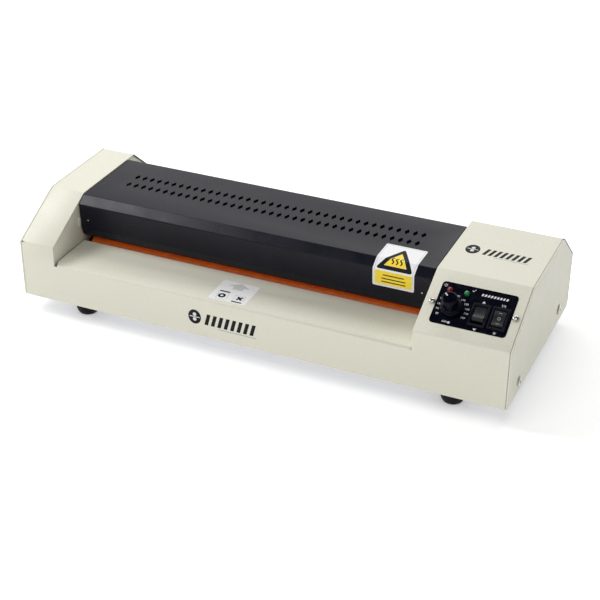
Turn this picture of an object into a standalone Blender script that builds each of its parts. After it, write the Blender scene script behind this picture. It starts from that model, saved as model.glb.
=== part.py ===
"""A3 pouch laminator: sheet-metal casing, four sprung silicone rollers, gear train, heating plates
and controls. Lengths are in metres, +Z is up, +X runs along the rollers and -Y is the feeding side.

Every sub-part is placed in casing coordinates, whose zero is the left end of the casing's front
bottom edge: x to the right, y to the rear and z up. An empty carries that corner to its place in
the world, so that the object stands on z = 0 and is centred in x and y."""

import math

import bmesh
import bpy
from mathutils import Vector

MM = 0.001

# Casing
LENGTH = 508 * MM
DEPTH = 206 * MM
SHEET = 1.2 * MM
SIDE_SHEET = 1.5 * MM
GAP = 0.3 * MM
FOOT_HEIGHT = 18 * MM
BAY_LEFT = 38.5 * MM
BAY_RIGHT = 415.7 * MM
WALL_SETBACK = 0.5 * MM

# Outline of a hood, seen from the side
FRONT_BEND = (0.0, 59.7 * MM)
ROOF_FRONT = (62.5 * MM, 93.6 * MM)
ROOF_REAR = (162.5 * MM, 95.5 * MM)
REAR_BEND = (DEPTH, 59.5 * MM)
HOOD_RETURN = 3 * MM

# Feed shelf and delivery tray, which mirror each other about the middle of the rollers
MIDDLE_Y = 105.5 * MM
SHELF_FRONT_Z = 41.7 * MM
SHELF_EDGE = (56.9 * MM, 43.4 * MM)
SHELF_RETURN = 5 * MM

# Black top cover
COVER_END_GAP = 1.0 * MM
COVER_FACE = (
    (57.6 * MM, 48.5 * MM),
    (54.3 * MM, 52.2 * MM),
    (52.2 * MM, 59.6 * MM),
    (50.5 * MM, 85.8 * MM),
    (60.7 * MM, 92.7 * MM),
)
COVER_REAR_RISE = 1.7 * MM
VENT_COLUMNS = 38
VENT_PITCH = 8.46 * MM
VENT_FIRST_X = 69.8 * MM
VENT_ROWS_Y = (99 * MM, 117 * MM)
VENT_HALF_WIDTH = 2.5 * MM
VENT_HALF_DEPTH = 5.5 * MM

# Rollers
ROLLER_YS = {"front": 71 * MM, "rear": 2 * MIDDLE_Y - 71 * MM}
LOWER_Z = 32.8 * MM
GEAR_CENTRES = 26.3 * MM
UPPER_Z = LOWER_Z + GEAR_CENTRES
SLEEVE_RADIUS = 13 * MM
SLEEVE_BORE = 8.3 * MM
SLEEVE_ENDS = (44.5 * MM, 409.7 * MM)
CORE_RADIUS = 8 * MM
CORE_OVERHANG = 1 * MM
JOURNAL_RADIUS = 4 * MM
JOURNAL_ENDS = (28.5 * MM, 435 * MM)
WALL_HOLES = {"lower": 7 * MM, "upper": 8 * MM}
ROUND = 20

# Frames and bushes
FRAME_SETOFF = 3.8 * MM
FRAME_SHEET = 1.5 * MM
FRAME_FRONT_Y = 50 * MM
FRAME_TOP_Z = 88 * MM
FRAME_CORNER = 10 * MM
FRAME_FOOT = 12 * MM
FRAME_FOOT_INSET = 5 * MM
BUSH_RADIUS = 5.5 * MM
BUSH_FLANGE = 8 * MM
BUSH_FLANGE_THICKNESS = 1.5 * MM
BUSH_LENGTH = 5.3 * MM
BUSH_BORE = 4.3 * MM
BLOCK_HALF = 6 * MM
GUIDE_TOP_Z = 80 * MM
SPRING_RADIUS = 3 * MM
WIRE_RADIUS = 0.5 * MM
SPRING_TURNS = 6

# Gear train, all in one plane beside the right frame
MODULE = 1.3 * MM
TOOTH_ADDENDUM = 1.0
TOOTH_DEDENDUM = 1.25
TOOTH_TIP_HALF = 0.29
TOOTH_ROOT_HALF = 0.85
ROLLER_TEETH = 20
IDLER_TEETH = 33
PINION_TEETH = 13
GEAR_ENDS = (426 * MM, 434 * MM)
MESH_SLACK = 0.3 * MM
STUD_RADIUS = 3 * MM
STUD_OVERHANG = 1 * MM
IDLER_REACH = MODULE * (ROLLER_TEETH + IDLER_TEETH) / 2 + MESH_SLACK
IDLER_SPAN = (ROLLER_YS["rear"] - ROLLER_YS["front"]) / 2
IDLER_Y = ROLLER_YS["front"] + IDLER_SPAN
IDLER_Z = LOWER_Z - math.sqrt(IDLER_REACH**2 - IDLER_SPAN**2)
PINION_Z = IDLER_Z + MODULE * (PINION_TEETH + IDLER_TEETH) / 2 + MESH_SLACK

# Motor
MOTOR_FACE_X = 438 * MM
MOTOR_END_X = 478 * MM
MOTOR_RADIUS = 24 * MM
MOTOR_RIM = 1.5 * MM
MOTOR_PLATE_HALF_Y = 29 * MM
MOTOR_PLATE_BOTTOM = 26 * MM
MOTOR_PLATE_TOP = 28 * MM
MOTOR_POST = (22 * MM, 22 * MM)
PINION_SHAFT_END_X = 441 * MM

# Heating plates
PLATE_YS = (87 * MM, 124 * MM)
PLATE_ENDS = (45.5 * MM, 408.7 * MM)
PLATE_THICKNESS = 7 * MM
PLATE_CHAMFER = 2 * MM
PASS_BOTTOM_Z = 43.4 * MM
PASS_TOP_Z = 48.5 * MM
LUG_YS = ((91 * MM, 99 * MM), (112 * MM, 120 * MM))
LUG_THICKNESS = 3 * MM
HEATER_ENDS = (70 * MM, 384 * MM)
HEATER_YS = (93 * MM, 118 * MM)
HEATER_THICKNESS = 2.5 * MM

# Controls, placed on the right hood's slope by x and by the way u up from the front bend
SLOPE_CUT = 3 * MM
PANEL_SCREWS = {"left": (422.8 * MM, 34.8 * MM), "right": (500.5 * MM, 35.3 * MM)}
PANEL_SCREW_SHANK = 1.5 * MM
PANEL_SCREW_HOLE = 1.9 * MM
PANEL_SCREW_LENGTH = 6 * MM
PANEL_SCREW_HEAD = 3.3 * MM
PANEL_SCREW_PROUD = 2.3 * MM
LAMPS = {"power_lamp": (435.1 * MM, 49.6 * MM), "ready_lamp": (451.1 * MM, 49.4 * MM)}
KNOB_AT = (442.5 * MM, 31 * MM)
SWITCHES = {"drive_switch": (468.6 * MM, 29.8 * MM), "heat_switch": (486.8 * MM, 30.4 * MM)}
ROCKER_REST_DEG = {"drive_switch": -9.0, "heat_switch": 0.0}
BEZEL_HALF = (8.4 * MM, 12 * MM)
BEZEL_TOP = 1.9 * MM
SWITCH_HALF = (6.7 * MM, 10.2 * MM)
SWITCH_DEPTH = 17 * MM
CAVITY_HALF = (5.7 * MM, 9.3 * MM)
CAVITY_DEPTH = 7 * MM
ROCKER_AXIS = 0.2 * MM
ROCKER_RADIUS = 8.9 * MM
ROCKER_END_DEG = (18, 0, -20)
ROCKER_CROWN = 1.2 * MM
ROCKER_KEEL = 4.5 * MM
LAMP_RADIUS = 2.5 * MM
LAMP_FLANGE = 3.3 * MM
LAMP_FLANGE_THICKNESS = 1.5 * MM
LAMP_DEPTH = 8 * MM
LAMP_RISE = 1.2 * MM
KNOB_RADIUS = 10.6 * MM
KNOB_BASE = 1 * MM
KNOB_FLUTES = 18
KNOB_GROOVE = 0.94
KNOB_TIERS = ((1 * MM, 1.0), (6 * MM, 1.0), (7 * MM, 0.74), (17.5 * MM, 0.7), (18.5 * MM, 0.62))
SPINDLE_RADIUS = 3 * MM
SPINDLE_TOP = 10 * MM
THERMOSTAT_NECK = 3.6 * MM
THERMOSTAT_COLLAR = 5.5 * MM
THERMOSTAT_RADIUS = 13 * MM
THERMOSTAT_TOP = -5 * MM
THERMOSTAT_BOTTOM = -21 * MM

# Mains inlet in the rear panel
INLET_X = 455 * MM
INLET_Z = 34 * MM
INLET_HALF = (13.6 * MM, 10.1 * MM)
INLET_FLANGE_HALF = (15.5 * MM, 12.5 * MM)
INLET_PROUD = 2 * MM
INLET_DEPTH = 24 * MM
MOUTH_HALF = (12 * MM, 8.3 * MM)
MOUTH_CORNER = 4 * MM
MOUTH_DEPTH = 17 * MM
PIN_PLACES = ((-7 * MM, -0.5 * MM), (0, 3.5 * MM), (7 * MM, -0.5 * MM))
PIN_HALF = (1 * MM, 2 * MM)
PIN_SETBACK = 3 * MM

# Base, feet and side screws
BASE_FLANGE_Z = 22 * MM
FOOT_XS = {"left": 59.6 * MM, "right": 450.5 * MM}
FOOT_YS = {"front": 23 * MM, "rear": 183 * MM}
FOOT_RADIUS = 13 * MM
FOOT_TREAD = 8 * MM
FOOT_HOLE = 3.5 * MM
FOOT_HOLE_DEPTH = 6.5 * MM
SIDE_SCREWS = {"front": (32.8 * MM, 11.8 * MM), "rear": (167.8 * MM, 15.4 * MM)}
SIDE_SCREW_SHANK = 1.9 * MM
SIDE_SCREW_HOLE = 2.3 * MM
SIDE_SCREW_LENGTH = 9 * MM
SIDE_SCREW_HEAD = 5 * MM
SIDE_SCREW_PROUD = 1.8 * MM

TOTAL_DEPTH = DEPTH + INLET_PROUD
SLOPE_ANGLE = math.atan2(ROOF_FRONT[1] - FRONT_BEND[1], ROOF_FRONT[0] - FRONT_BEND[0])

# Finishes: colour, roughness, metallic
FINISHES = {
    "cream_paint": ((0.66, 0.65, 0.55), 0.5, 0.0),
    "black_paint": ((0.03, 0.03, 0.035), 0.35, 0.0),
    "zinc_steel": ((0.55, 0.56, 0.58), 0.4, 1.0),
    "bright_steel": ((0.7, 0.7, 0.72), 0.25, 1.0),
    "silicone": ((0.62, 0.14, 0.02), 0.45, 0.0),
    "gear_plastic": ((0.8, 0.78, 0.7), 0.5, 0.0),
    "bush_plastic": ((0.25, 0.2, 0.14), 0.5, 0.0),
    "aluminium": ((0.75, 0.76, 0.78), 0.35, 1.0),
    "mica": ((0.5, 0.38, 0.2), 0.7, 0.0),
    "black_plastic": ((0.02, 0.02, 0.022), 0.45, 0.0),
    "red_lens": ((0.7, 0.02, 0.02), 0.15, 0.0),
    "green_lens": ((0.05, 0.5, 0.08), 0.15, 0.0),
    "black_rubber": ((0.02, 0.02, 0.02), 0.8, 0.0),
}


def clear_scene():
    for obj in list(bpy.data.objects):
        bpy.data.objects.remove(obj, do_unlink=True)


def finish_of(name):
    material = bpy.data.materials.get(name)
    if material is None:
        color, roughness, metallic = FINISHES[name]
        material = bpy.data.materials.new(name)
        material.use_nodes = True
        material.diffuse_color = (*color, 1)
        shader = material.node_tree.nodes["Principled BSDF"]
        shader.inputs["Base Color"].default_value = (*color, 1)
        shader.inputs["Roughness"].default_value = roughness
        shader.inputs["Metallic"].default_value = metallic
    return material


def empty(name, location, parent=None, tilt=0.0):
    holder = bpy.data.objects.new(name, None)
    bpy.context.scene.collection.objects.link(holder)
    holder.location = location
    holder.rotation_euler = (tilt, 0, 0)
    holder.parent = parent
    return holder


def solid(name, bm, parent, finish, at=(0, 0, 0), tilt=0.0):
    """An object from a bmesh, with its faces turned outwards and its round faces smooth."""
    bmesh.ops.recalc_face_normals(bm, faces=bm.faces)
    mesh = bpy.data.meshes.new(name)
    bm.to_mesh(mesh)
    bm.free()
    mesh.shade_smooth()
    mesh.set_sharp_from_angle(angle=math.radians(32))
    mesh.materials.append(finish_of(finish))
    obj = bpy.data.objects.new(name, mesh)
    bpy.context.scene.collection.objects.link(obj)
    obj.parent = parent
    obj.location = at
    obj.rotation_euler = (tilt, 0, 0)
    return obj


def boolean(target, tool, operation):
    """Cuts a hidden tool from a solid, or joins it to the solid."""
    tool.hide_render = True
    tool.display_type = "WIRE"
    modifier = target.modifiers.new(tool.name, "BOOLEAN")
    modifier.operation = operation
    modifier.solver = "EXACT"
    modifier.object = tool


def placed(axis, along, point):
    """A point given by two coordinates across an axis and one along it."""
    first, second = point
    if axis == "X":
        return Vector((along, first, second))
    if axis == "Y":
        return Vector((first, along, second))
    return Vector((first, second, along))


def add_loft(bm, axis, sections):
    """A closed body through outlines of equal point counts, each given as (place along, outline)."""
    rings = [[bm.verts.new(placed(axis, along, p)) for p in outline] for along, outline in sections]
    for low, high in zip(rings, rings[1:]):
        count = len(low)
        for i in range(count):
            j = (i + 1) % count
            bm.faces.new((low[i], low[j], high[j], high[i]))
    bm.faces.new(rings[0])
    bm.faces.new(rings[-1])


def add_prism(bm, axis, low, high, outline):
    add_loft(bm, axis, [(low, outline), (high, outline)])


def add_box(bm, xs, ys, zs):
    outline = [(xs[0], ys[0]), (xs[1], ys[0]), (xs[1], ys[1]), (xs[0], ys[1])]
    add_prism(bm, "Z", zs[0], zs[1], outline)


def circle(radius, centre=(0, 0), count=ROUND):
    steps = [2 * math.pi * i / count for i in range(count)]
    return [(centre[0] + radius * math.cos(t), centre[1] + radius * math.sin(t)) for t in steps]


def add_round(bm, axis, low, high, radius, centre=(0, 0), count=ROUND):
    add_prism(bm, axis, low, high, circle(radius, centre, count))


def add_turned(bm, axis, profile, centre=(0, 0), count=ROUND):
    """A solid turned from a profile of (along, radius) points that starts and ends on the axis."""
    rings = [[bm.verts.new(placed(axis, a, p)) for p in circle(r, centre, count)] for a, r in profile[1:-1]]
    for low, high in zip(rings, rings[1:]):
        for i in range(count):
            j = (i + 1) % count
            bm.faces.new((low[i], low[j], high[j], high[i]))
    for (along, _), ring in ((profile[0], rings[0]), (profile[-1], rings[-1])):
        tip = bm.verts.new(placed(axis, along, centre))
        for i in range(count):
            bm.faces.new((ring[i], ring[(i + 1) % count], tip))


def add_tube(bm, axis, low, high, outer, inner, centre=(0, 0), count=ROUND):
    """A round tube, as four rings of vertices joined by quads."""
    corners = ((low, outer), (high, outer), (high, inner), (low, inner))
    rings = [[bm.verts.new(placed(axis, a, p)) for p in circle(r, centre, count)] for a, r in corners]
    for k in range(len(rings)):
        ring = rings[k]
        following = rings[(k + 1) % len(rings)]
        for i in range(count):
            j = (i + 1) % count
            bm.faces.new((ring[i], ring[j], following[j], following[i]))


def offset_path(points, distance):
    """An open path moved to its own right, with mitred bends."""
    path = [Vector(p) for p in points]
    ways = [(b - a).normalized() for a, b in zip(path, path[1:])]
    rights = [Vector((way.y, -way.x)) for way in ways]
    rights = [rights[0], *rights, rights[-1]]
    moved = []
    for point, before, after in zip(path, rights, rights[1:]):
        moved.append(tuple(point + (before + after) * distance / (1 + before.dot(after))))
    return moved


def folded(points, thickness=SHEET):
    """The outline of folded sheet metal, whose outer face follows the points."""
    return [*points, *reversed(offset_path(points, thickness))]


def gear_outline(teeth, first_tooth, centre):
    """A spur gear with straight flanks: four points for each tooth."""
    tip = MODULE * (teeth / 2 + TOOTH_ADDENDUM)
    root = MODULE * (teeth / 2 - TOOTH_DEDENDUM)
    tip_half = TOOTH_TIP_HALF * MODULE / tip
    root_half = TOOTH_ROOT_HALF * MODULE / root
    outline = []
    for i in range(teeth):
        middle = first_tooth + 2 * math.pi * i / teeth
        corners = ((root, -root_half), (tip, -tip_half), (tip, tip_half), (root, root_half))
        for radius, turn in corners:
            angle = middle + turn
            outline.append((centre[0] + radius * math.cos(angle), centre[1] + radius * math.sin(angle)))
    return outline


def meshed_tooth(driver_teeth, driver_tooth, teeth, way):
    """The angle of a tooth of a gear in mesh with a driver that lies the opposite way from it.

    way is the direction from the driver to the gear, and driver_tooth the angle of one of the
    driver's teeth. A gap of the gear meets that tooth's place on the pitch circle."""
    gap = way + math.pi - (driver_tooth - way) * driver_teeth / teeth
    return gap + math.pi / teeth


def mirrored(point):
    """A (y, z) point on the other side of the middle of the rollers."""
    return (2 * MIDDLE_Y - point[0], point[1])


def hood_path():
    """Front wall, slope, roof and rear slope of a hood, as (y, z) points."""
    return [(0, 0), FRONT_BEND, ROOF_FRONT, ROOF_REAR, REAR_BEND]


def slope_holes():
    """Cutters for all that goes through the right hood's slope."""
    bm = bmesh.new()
    low, high = -SLOPE_CUT, SLOPE_CUT
    for at in PANEL_SCREWS.values():
        add_round(bm, "Z", low, high, PANEL_SCREW_HOLE, at, 10)
    for at in LAMPS.values():
        add_round(bm, "Z", low, high, LAMP_RADIUS + GAP, at, 12)
    add_round(bm, "Z", low, high, THERMOSTAT_NECK + 2 * GAP, KNOB_AT, 12)
    for x, u in SWITCHES.values():
        half_x, half_u = (half + GAP for half in SWITCH_HALF)
        add_box(bm, (x - half_x, x + half_x), (u - half_u, u + half_u), (low, high))
    return bm


def front_shell(corner, slope):
    """Front wall, feed shelf and both hoods, folded from one sheet."""
    left = SIDE_SHEET + GAP
    right = LENGTH - left
    seam = 0.1 * MM
    hood = folded([*hood_path(), (DEPTH, REAR_BEND[1] - HOOD_RETURN)])
    shelf = folded([(0, 0), (0, SHELF_FRONT_Z), SHELF_EDGE, (SHELF_EDGE[0], SHELF_EDGE[1] - SHELF_RETURN)])
    bm = bmesh.new()
    add_prism(bm, "X", left, BAY_LEFT, hood)
    shell = solid("front_shell", bm, corner, "cream_paint")
    for name, low, high, outline in (
        ("join_right_hood", BAY_RIGHT, right, hood),
        ("join_shelf", BAY_LEFT - seam, BAY_RIGHT + seam, shelf),
    ):
        bm = bmesh.new()
        add_prism(bm, "X", low, high, outline)
        boolean(shell, solid(name, bm, corner, "cream_paint"), "UNION")
    boolean(shell, solid("cut_slope_holes", slope_holes(), slope, "cream_paint"), "DIFFERENCE")


def rear_panel(corner):
    """Rear wall with the delivery tray folded in between the hoods."""
    left = SIDE_SHEET + GAP
    right = LENGTH - left
    seam = 0.1 * MM
    wall = folded([(DEPTH, REAR_BEND[1] - HOOD_RETURN - GAP), (DEPTH, 0)])
    tray_edge = mirrored(SHELF_EDGE)
    tray_return = (tray_edge[0], tray_edge[1] - SHELF_RETURN)
    tray = folded([tray_return, tray_edge, (DEPTH, SHELF_FRONT_Z), (DEPTH, 0)])
    bm = bmesh.new()
    add_prism(bm, "X", left, BAY_LEFT, wall)
    panel = solid("rear_panel", bm, corner, "cream_paint")
    for name, low, high, outline in (
        ("join_rear_right", BAY_RIGHT, right, wall),
        ("join_tray", BAY_LEFT - seam, BAY_RIGHT + seam, tray),
    ):
        bm = bmesh.new()
        add_prism(bm, "X", low, high, outline)
        boolean(panel, solid(name, bm, corner, "cream_paint"), "UNION")
    bm = bmesh.new()
    half_x, half_z = (half + GAP for half in INLET_HALF)
    xs = (INLET_X - half_x, INLET_X + half_x)
    add_box(bm, xs, (DEPTH - 3 * SHEET, DEPTH + SHEET), (INLET_Z - half_z, INLET_Z + half_z))
    boolean(panel, solid("cut_inlet", bm, corner, "cream_paint"), "DIFFERENCE")


def side_panels(corner):
    outline = [*hood_path(), (DEPTH, 0)]
    for side, low in (("left", 0), ("right", LENGTH - SIDE_SHEET)):
        bm = bmesh.new()
        add_prism(bm, "X", low, low + SIDE_SHEET, outline)
        panel = solid(f"{side}_side_panel", bm, corner, "cream_paint")
        bm = bmesh.new()
        for y, z in SIDE_SCREWS.values():
            add_round(bm, "X", low - SHEET, low + 2 * SHEET, SIDE_SCREW_HOLE, (y, z), 12)
        boolean(panel, solid(f"cut_{side}_screw_holes", bm, corner, "cream_paint"), "DIFFERENCE")


def wall_span(side):
    """The x range of an inner wall, and the way from the bay outwards."""
    if side == "left":
        face = BAY_LEFT - WALL_SETBACK
        return (face - SHEET, face), -1
    face = BAY_RIGHT + WALL_SETBACK
    return (face, face + SHEET), 1


def frame_face(side):
    """x of the frame's face towards the bay, and the way from the bay outwards."""
    span, way = wall_span(side)
    outer = span[0] if way < 0 else span[1]
    return outer + way * FRAME_SETOFF, way


def inner_walls(corner):
    """The hoods' walls towards the bay, with holes for the shafts and the heating plates' lugs."""
    outline = offset_path([*hood_path(), (DEPTH, 0)], SHEET + GAP)
    floor = SHEET + GAP
    outline[0] = (outline[0][0], floor)
    outline[-1] = (outline[-1][0], floor)
    for side in ("left", "right"):
        span, _ = wall_span(side)
        bm = bmesh.new()
        add_prism(bm, "X", span[0], span[1], outline)
        wall = solid(f"{side}_inner_wall", bm, corner, "cream_paint")
        bm = bmesh.new()
        cut = (span[0] - SHEET, span[1] + SHEET)
        for y in ROLLER_YS.values():
            add_round(bm, "X", cut[0], cut[1], WALL_HOLES["lower"], (y, LOWER_Z), 16)
            add_round(bm, "X", cut[0], cut[1], WALL_HOLES["upper"], (y, UPPER_Z), 16)
        for low, high in LUG_YS:
            for z in lug_levels():
                add_box(bm, cut, (low - GAP, high + GAP), (z - GAP, z + LUG_THICKNESS + GAP))
        boolean(wall, solid(f"cut_{side}_wall_holes", bm, corner, "cream_paint"), "DIFFERENCE")


def base_plate(corner):
    """The floor, with a flange up each end for the side screws."""
    left = SIDE_SHEET + GAP
    right = LENGTH - left
    path = [(left, BASE_FLANGE_Z), (left, 0), (right, 0), (right, BASE_FLANGE_Z)]
    front = SHEET + GAP
    rear = DEPTH - SHEET - GAP
    bm = bmesh.new()
    add_prism(bm, "Y", front, rear, folded(list(reversed(path))))
    base = solid("base_plate", bm, corner, "zinc_steel")
    bm = bmesh.new()
    for x in (left, right):
        for y, z in SIDE_SCREWS.values():
            add_round(bm, "X", x - 2 * SHEET, x + 2 * SHEET, SIDE_SCREW_HOLE, (y, z), 12)
    boolean(base, solid("cut_flange_holes", bm, corner, "zinc_steel"), "DIFFERENCE")


def top_cover(corner):
    """The black cover over the rollers, folded from one sheet, with two rows of lozenge vents."""
    rear_face = [mirrored(p) for p in reversed(COVER_FACE)]
    top = rear_face[0][1] + COVER_REAR_RISE
    path = [*COVER_FACE, (rear_face[0][0], top), *rear_face[1:]]
    bm = bmesh.new()
    add_prism(bm, "X", BAY_LEFT + COVER_END_GAP, BAY_RIGHT - COVER_END_GAP, folded(path))
    cover = solid("top_cover", bm, corner, "black_paint")
    bm = bmesh.new()
    for y in VENT_ROWS_Y:
        for i in range(VENT_COLUMNS):
            x = VENT_FIRST_X + i * VENT_PITCH
            lozenge = [
                (x - VENT_HALF_WIDTH, y),
                (x, y - VENT_HALF_DEPTH),
                (x + VENT_HALF_WIDTH, y),
                (x, y + VENT_HALF_DEPTH),
            ]
            add_prism(bm, "Z", top - 5 * SHEET, top + SHEET, lozenge)
    boolean(cover, solid("cut_vents", bm, corner, "black_paint"), "DIFFERENCE")


def frames(corner):
    """Steel side frames that carry the bushes; the right one has the idler's stud."""
    rear_y = 2 * MIDDLE_Y - FRAME_FRONT_Y
    floor = SHEET + GAP
    outline = [
        (FRAME_FRONT_Y, floor),
        (FRAME_FRONT_Y, FRAME_TOP_Z - FRAME_CORNER),
        (FRAME_FRONT_Y + FRAME_CORNER, FRAME_TOP_Z),
        (rear_y - FRAME_CORNER, FRAME_TOP_Z),
        (rear_y, FRAME_TOP_Z - FRAME_CORNER),
        (rear_y, floor),
    ]
    for side in ("left", "right"):
        face, way = frame_face(side)
        span = sorted((face, face + way * FRAME_SHEET))
        bm = bmesh.new()
        add_prism(bm, "X", span[0], span[1], outline)
        frame = solid(f"{side}_frame", bm, corner, "zinc_steel")
        bm = bmesh.new()
        foot = sorted((face + way * FRAME_SHEET / 2, face + way * FRAME_FOOT))
        foot_ys = (FRAME_FRONT_Y + FRAME_FOOT_INSET, rear_y - FRAME_FOOT_INSET)
        add_box(bm, foot, foot_ys, (floor, floor + FRAME_SHEET))
        if side == "right":
            stud = (face + FRAME_SHEET / 2, GEAR_ENDS[1] + STUD_OVERHANG)
            add_round(bm, "X", stud[0], stud[1], STUD_RADIUS, (IDLER_Y, IDLER_Z), 12)
        boolean(frame, solid(f"join_{side}_frame", bm, corner, "zinc_steel"), "UNION")
        bm = bmesh.new()
        cut = (span[0] - SHEET, span[1] + SHEET)
        half = BLOCK_HALF + GAP
        for y in ROLLER_YS.values():
            add_round(bm, "X", cut[0], cut[1], BUSH_RADIUS + GAP, (y, LOWER_Z), ROUND)
            add_box(bm, cut, (y - half, y + half), (UPPER_Z - half, GUIDE_TOP_Z))
        boolean(frame, solid(f"cut_{side}_frame", bm, corner, "zinc_steel"), "DIFFERENCE")


def bushes(corner):
    """Round flanged bushes below, and square ones above that slide in the frames' guides."""
    for side in ("left", "right"):
        face, way = frame_face(side)
        inner = face - way * (GAP + BUSH_FLANGE_THICKNESS)
        flange = sorted((inner, face - way * GAP))
        body = sorted((inner, inner + way * BUSH_LENGTH))
        for row, y in ROLLER_YS.items():
            for level, z in (("lower", LOWER_Z), ("upper", UPPER_Z)):
                bm = bmesh.new()
                if level == "lower":
                    add_round(bm, "X", flange[0], flange[1], BUSH_FLANGE, (y, z), 16)
                else:
                    zs = (z - BUSH_FLANGE, z + BLOCK_HALF)
                    add_box(bm, flange, (y - BUSH_FLANGE, y + BUSH_FLANGE), zs)
                name = f"{row}_{level}_bush_{side}"
                bush = solid(name, bm, corner, "bush_plastic")
                bm = bmesh.new()
                if level == "lower":
                    add_round(bm, "X", body[0], body[1], BUSH_RADIUS, (y, z), ROUND)
                else:
                    block = (-BLOCK_HALF, BLOCK_HALF)
                    add_box(bm, body, [y + b for b in block], [z + b for b in block])
                boolean(bush, solid(f"join_{name}", bm, corner, "bush_plastic"), "UNION")
                bm = bmesh.new()
                add_round(bm, "X", body[0] - SHEET, body[1] + SHEET, BUSH_BORE, (y, z), 16)
                boolean(bush, solid(f"cut_{name}", bm, corner, "bush_plastic"), "DIFFERENCE")


def add_coil(bm, radius, wire, low, high, turns, per_turn=10, sides=5):
    """A closed wire wound about Z."""
    steps = turns * per_turn
    rings = []
    for i in range(steps + 1):
        angle = 2 * math.pi * i / per_turn
        height = low + (high - low) * i / steps
        ring = []
        for k in range(sides):
            turn = 2 * math.pi * k / sides
            reach = radius + wire * math.cos(turn)
            point = (reach * math.cos(angle), reach * math.sin(angle), height + wire * math.sin(turn))
            ring.append(bm.verts.new(point))
        rings.append(ring)
    for low_ring, high_ring in zip(rings, rings[1:]):
        for k in range(sides):
            j = (k + 1) % sides
            bm.faces.new((low_ring[k], low_ring[j], high_ring[j], high_ring[k]))
    bm.faces.new(rings[0])
    bm.faces.new(rings[-1])


def springs(corner):
    """Springs that press the upper bushes down, standing in the frames' guides."""
    low = UPPER_Z + BLOCK_HALF + GAP + WIRE_RADIUS
    high = GUIDE_TOP_Z - GAP - WIRE_RADIUS
    for side in ("left", "right"):
        face, way = frame_face(side)
        x = face + way * FRAME_SHEET / 2
        for row, y in ROLLER_YS.items():
            bm = bmesh.new()
            add_coil(bm, SPRING_RADIUS, WIRE_RADIUS, 0, high - low, SPRING_TURNS)
            solid(f"{row}_spring_{side}", bm, corner, "bright_steel", (x, y, low))


def rollers(corner):
    """Steel shafts, each with a silicone sleeve; every origin is on the roller's axis."""
    core = (SLEEVE_ENDS[0] - CORE_OVERHANG, SLEEVE_ENDS[1] + CORE_OVERHANG)
    start, end = JOURNAL_ENDS
    profile = [
        (start, 0),
        (start, JOURNAL_RADIUS),
        (core[0], JOURNAL_RADIUS),
        (core[0], CORE_RADIUS),
        (core[1], CORE_RADIUS),
        (core[1], JOURNAL_RADIUS),
        (end, JOURNAL_RADIUS),
        (end, 0),
    ]
    for row, y in ROLLER_YS.items():
        for level, z in (("lower", LOWER_Z), ("upper", UPPER_Z)):
            bm = bmesh.new()
            add_turned(bm, "X", profile)
            solid(f"{row}_{level}_shaft", bm, corner, "bright_steel", (0, y, z))
            bm = bmesh.new()
            add_tube(bm, "X", SLEEVE_ENDS[0], SLEEVE_ENDS[1], SLEEVE_RADIUS, SLEEVE_BORE, count=24)
            solid(f"{row}_{level}_sleeve", bm, corner, "silicone", (0, y, z))


def add_gear(bm, teeth, first_tooth):
    add_prism(bm, "X", GEAR_ENDS[0], GEAR_ENDS[1], gear_outline(teeth, first_tooth, (0, 0)))


def drill(target, corner, at, radius, count=16):
    """Bores a gear's hub about its own axis."""
    bm = bmesh.new()
    add_round(bm, "X", GEAR_ENDS[0] - SHEET, GEAR_ENDS[1] + SHEET, radius, count=count)
    boolean(target, solid(f"cut_{target.name}", bm, corner, "gear_plastic", at), "DIFFERENCE")


def gear_train(corner):
    """Four roller gears, the idler between the lower two, and the motor's pinion above it."""
    down = math.atan2(IDLER_Z - LOWER_Z, IDLER_SPAN)
    up = math.pi / 2
    front_tooth = up
    idler_tooth = meshed_tooth(ROLLER_TEETH, front_tooth, IDLER_TEETH, down)
    rear_tooth = meshed_tooth(IDLER_TEETH, idler_tooth, ROLLER_TEETH, -down)
    pinion_tooth = meshed_tooth(IDLER_TEETH, idler_tooth, PINION_TEETH, up)
    for row, tooth in (("front", front_tooth), ("rear", rear_tooth)):
        upper_tooth = meshed_tooth(ROLLER_TEETH, tooth, ROLLER_TEETH, up)
        for level, z, first in (("lower", LOWER_Z, tooth), ("upper", UPPER_Z, upper_tooth)):
            bm = bmesh.new()
            add_gear(bm, ROLLER_TEETH, first)
            at = (0, ROLLER_YS[row], z)
            gear = solid(f"{row}_{level}_gear", bm, corner, "gear_plastic", at)
            drill(gear, corner, at, JOURNAL_RADIUS + GAP)
    bm = bmesh.new()
    add_gear(bm, IDLER_TEETH, idler_tooth)
    at = (0, IDLER_Y, IDLER_Z)
    idler = solid("idler_gear", bm, corner, "gear_plastic", at)
    drill(idler, corner, at, STUD_RADIUS + GAP, 12)
    bm = bmesh.new()
    add_gear(bm, PINION_TEETH, pinion_tooth)
    at = (0, IDLER_Y, PINION_Z)
    pinion = solid("motor_pinion", bm, corner, "bright_steel", at)
    bm = bmesh.new()
    add_round(bm, "X", GEAR_ENDS[1] - SHEET, PINION_SHAFT_END_X, STUD_RADIUS, count=12)
    boolean(pinion, solid("join_motor_pinion", bm, corner, "bright_steel", at), "UNION")


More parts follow.
